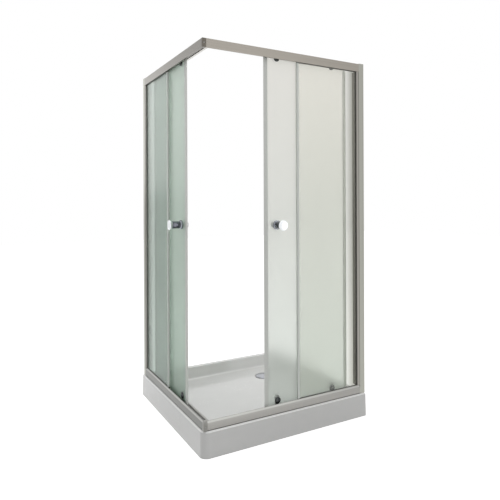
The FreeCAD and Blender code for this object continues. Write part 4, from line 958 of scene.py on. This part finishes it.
# %% Wheels
WHEEL = [(2.55, 0.2), (4.4, 0.2), (4.8, 1.2), (7.9, 1.2), (8.3, 0), (10.8, 0), (10.8, 1.9), (9.3, 2.4),
         (9.3, 5.6), (10.8, 6.1), (10.8, 8), (8.3, 8), (7.9, 6.8), (4.8, 6.8), (4.4, 7.8), (2.55, 7.8)]
WHEEL_SIDES = 48
for side in ("right", "left"):
    for level in ("top", "bottom"):
        for number in ("front", "rear"):
            node, name = f"{level}_wheel_{number}_{side}", f"{level}_roller_{number}_{side}"
            wheel = spun(name, softened(WHEEL, 0.35, steps=2), seat(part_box(node), side, False), INWARD[side],
                         closed=True, sides=WHEEL_SIDES)
            finished(name, wheel, "wheel_nylon", f"{side}_{level}_{number}_wheel", "wheel_nylon", node)
    print(side, "wheels, mm across:", 2 * max(radius for radius, height in WHEEL))

# %% [markdown]
# A levelling foot is a plastic sole on a threaded bolt. The thread is drawn as closed ridges: at this size
# nobody can tell them from a true helix, and rings keep the mesh small.

# %% Levelling feet
SOLE = [(0, 0), (24, 0), (25, 1), (25, 3), (22, 4.4), (12, 6), (10, 8), (0, 8)]
SOLE_SIDES, BOLT_SIDES = 36, 20
THREAD_PITCH, THREAD_LOW, THREAD_HIGH = 1.5, 4.45, 4.98
BOLT_START, THREAD_START, THREAD_END, BOLT_END, POINT = 8.01, 9.0, 34, 35, 0.8


def thread_outline():
    """The bolt from the sole to its end, with one ridge for each turn of its thread."""
    outline = [(0, BOLT_START), (THREAD_LOW, BOLT_START)]
    height = THREAD_START
    while height + THREAD_PITCH < THREAD_END:
        outline += [(THREAD_LOW, height), (THREAD_HIGH, height + THREAD_PITCH / 2)]
        height += THREAD_PITCH
    return outline + [(THREAD_LOW, THREAD_END), (THREAD_LOW - POINT, BOLT_END), (0, BOLT_END)]


stands = [Vector(((low.x + high.x) / 2, (low.y + high.y) / 2, 0)) for low, high in islands("levelling_feet")]
soles = joined("foot_soles", [spun("sole", softened(SOLE, 0.8, steps=2), stand, UP, sides=SOLE_SIDES)
                              for stand in stands])
finished("foot_soles", soles, "foot_plastic", "enclosure", "foot_plastic", "levelling_feet")
bolts = joined("foot_bolts", [spun("bolt", thread_outline(), stand, UP, sides=BOLT_SIDES)
                              for stand in stands])
finished("foot_bolts", bolts, "zinc_bolt", "enclosure", "foot_plastic")
print("feet:", len(stands))

# %% [markdown]
# A carriage that is lifted presses its spring. Each spring hangs from the housing's bridge and is wound
# once, between the ends of its own solid.

# %% Release springs
TURNS, STEPS_OF_TURN, COIL, WIRE, WIRE_SIDES = 5, 24, 1.9, 0.4, 10


def coil_mesh(low, high):
    """A round wire wound round an upright line."""
    middle, upward = (low + high) / 2, Vector(UP)
    shell = bmesh.new()
    rings = []
    steps = TURNS * STEPS_OF_TURN
    for step in range(steps + 1):
        turn = 2 * math.pi * step / STEPS_OF_TURN
        outward = Vector((math.cos(turn), math.sin(turn), 0))
        height = low.z + WIRE * MM + (high.z - low.z - 2 * WIRE * MM) * step / steps
        heart = Vector((middle.x, middle.y, height)) + outward * COIL * MM
        angles = [2 * math.pi * side / WIRE_SIDES for side in range(WIRE_SIDES)]
        spokes = [outward * math.cos(angle) + upward * math.sin(angle) for angle in angles]
        rings.append([shell.verts.new(heart + spoke * WIRE * MM) for spoke in spokes])
    for first, second in zip(rings, rings[1:]):
        for corner in range(WIRE_SIDES):
            following = (corner + 1) % WIRE_SIDES
            shell.faces.new((first[corner], first[following], second[following], second[corner]))
    shell.faces.new(rings[0])
    shell.faces.new(rings[-1])
    bmesh.ops.recalc_face_normals(shell, faces=shell.faces)
    return mesh_of(shell, "coil")


for side in ("right", "left"):
    node = f"release_springs_{side}"
    stands_for = [node]
    run = RUNS[side]
    for end, (low, high) in zip(("front", "rear"), sorted(islands(node), key=lambda box: box[0][run])):
        coil = finished(f"release_coil_{end}_{side}", coil_mesh(low, high), "spring_steel", f"{side}_door",
                        "spring_steel", *stands_for)
        length = high.z - low.z
        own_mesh(coil)
        stands_for = []
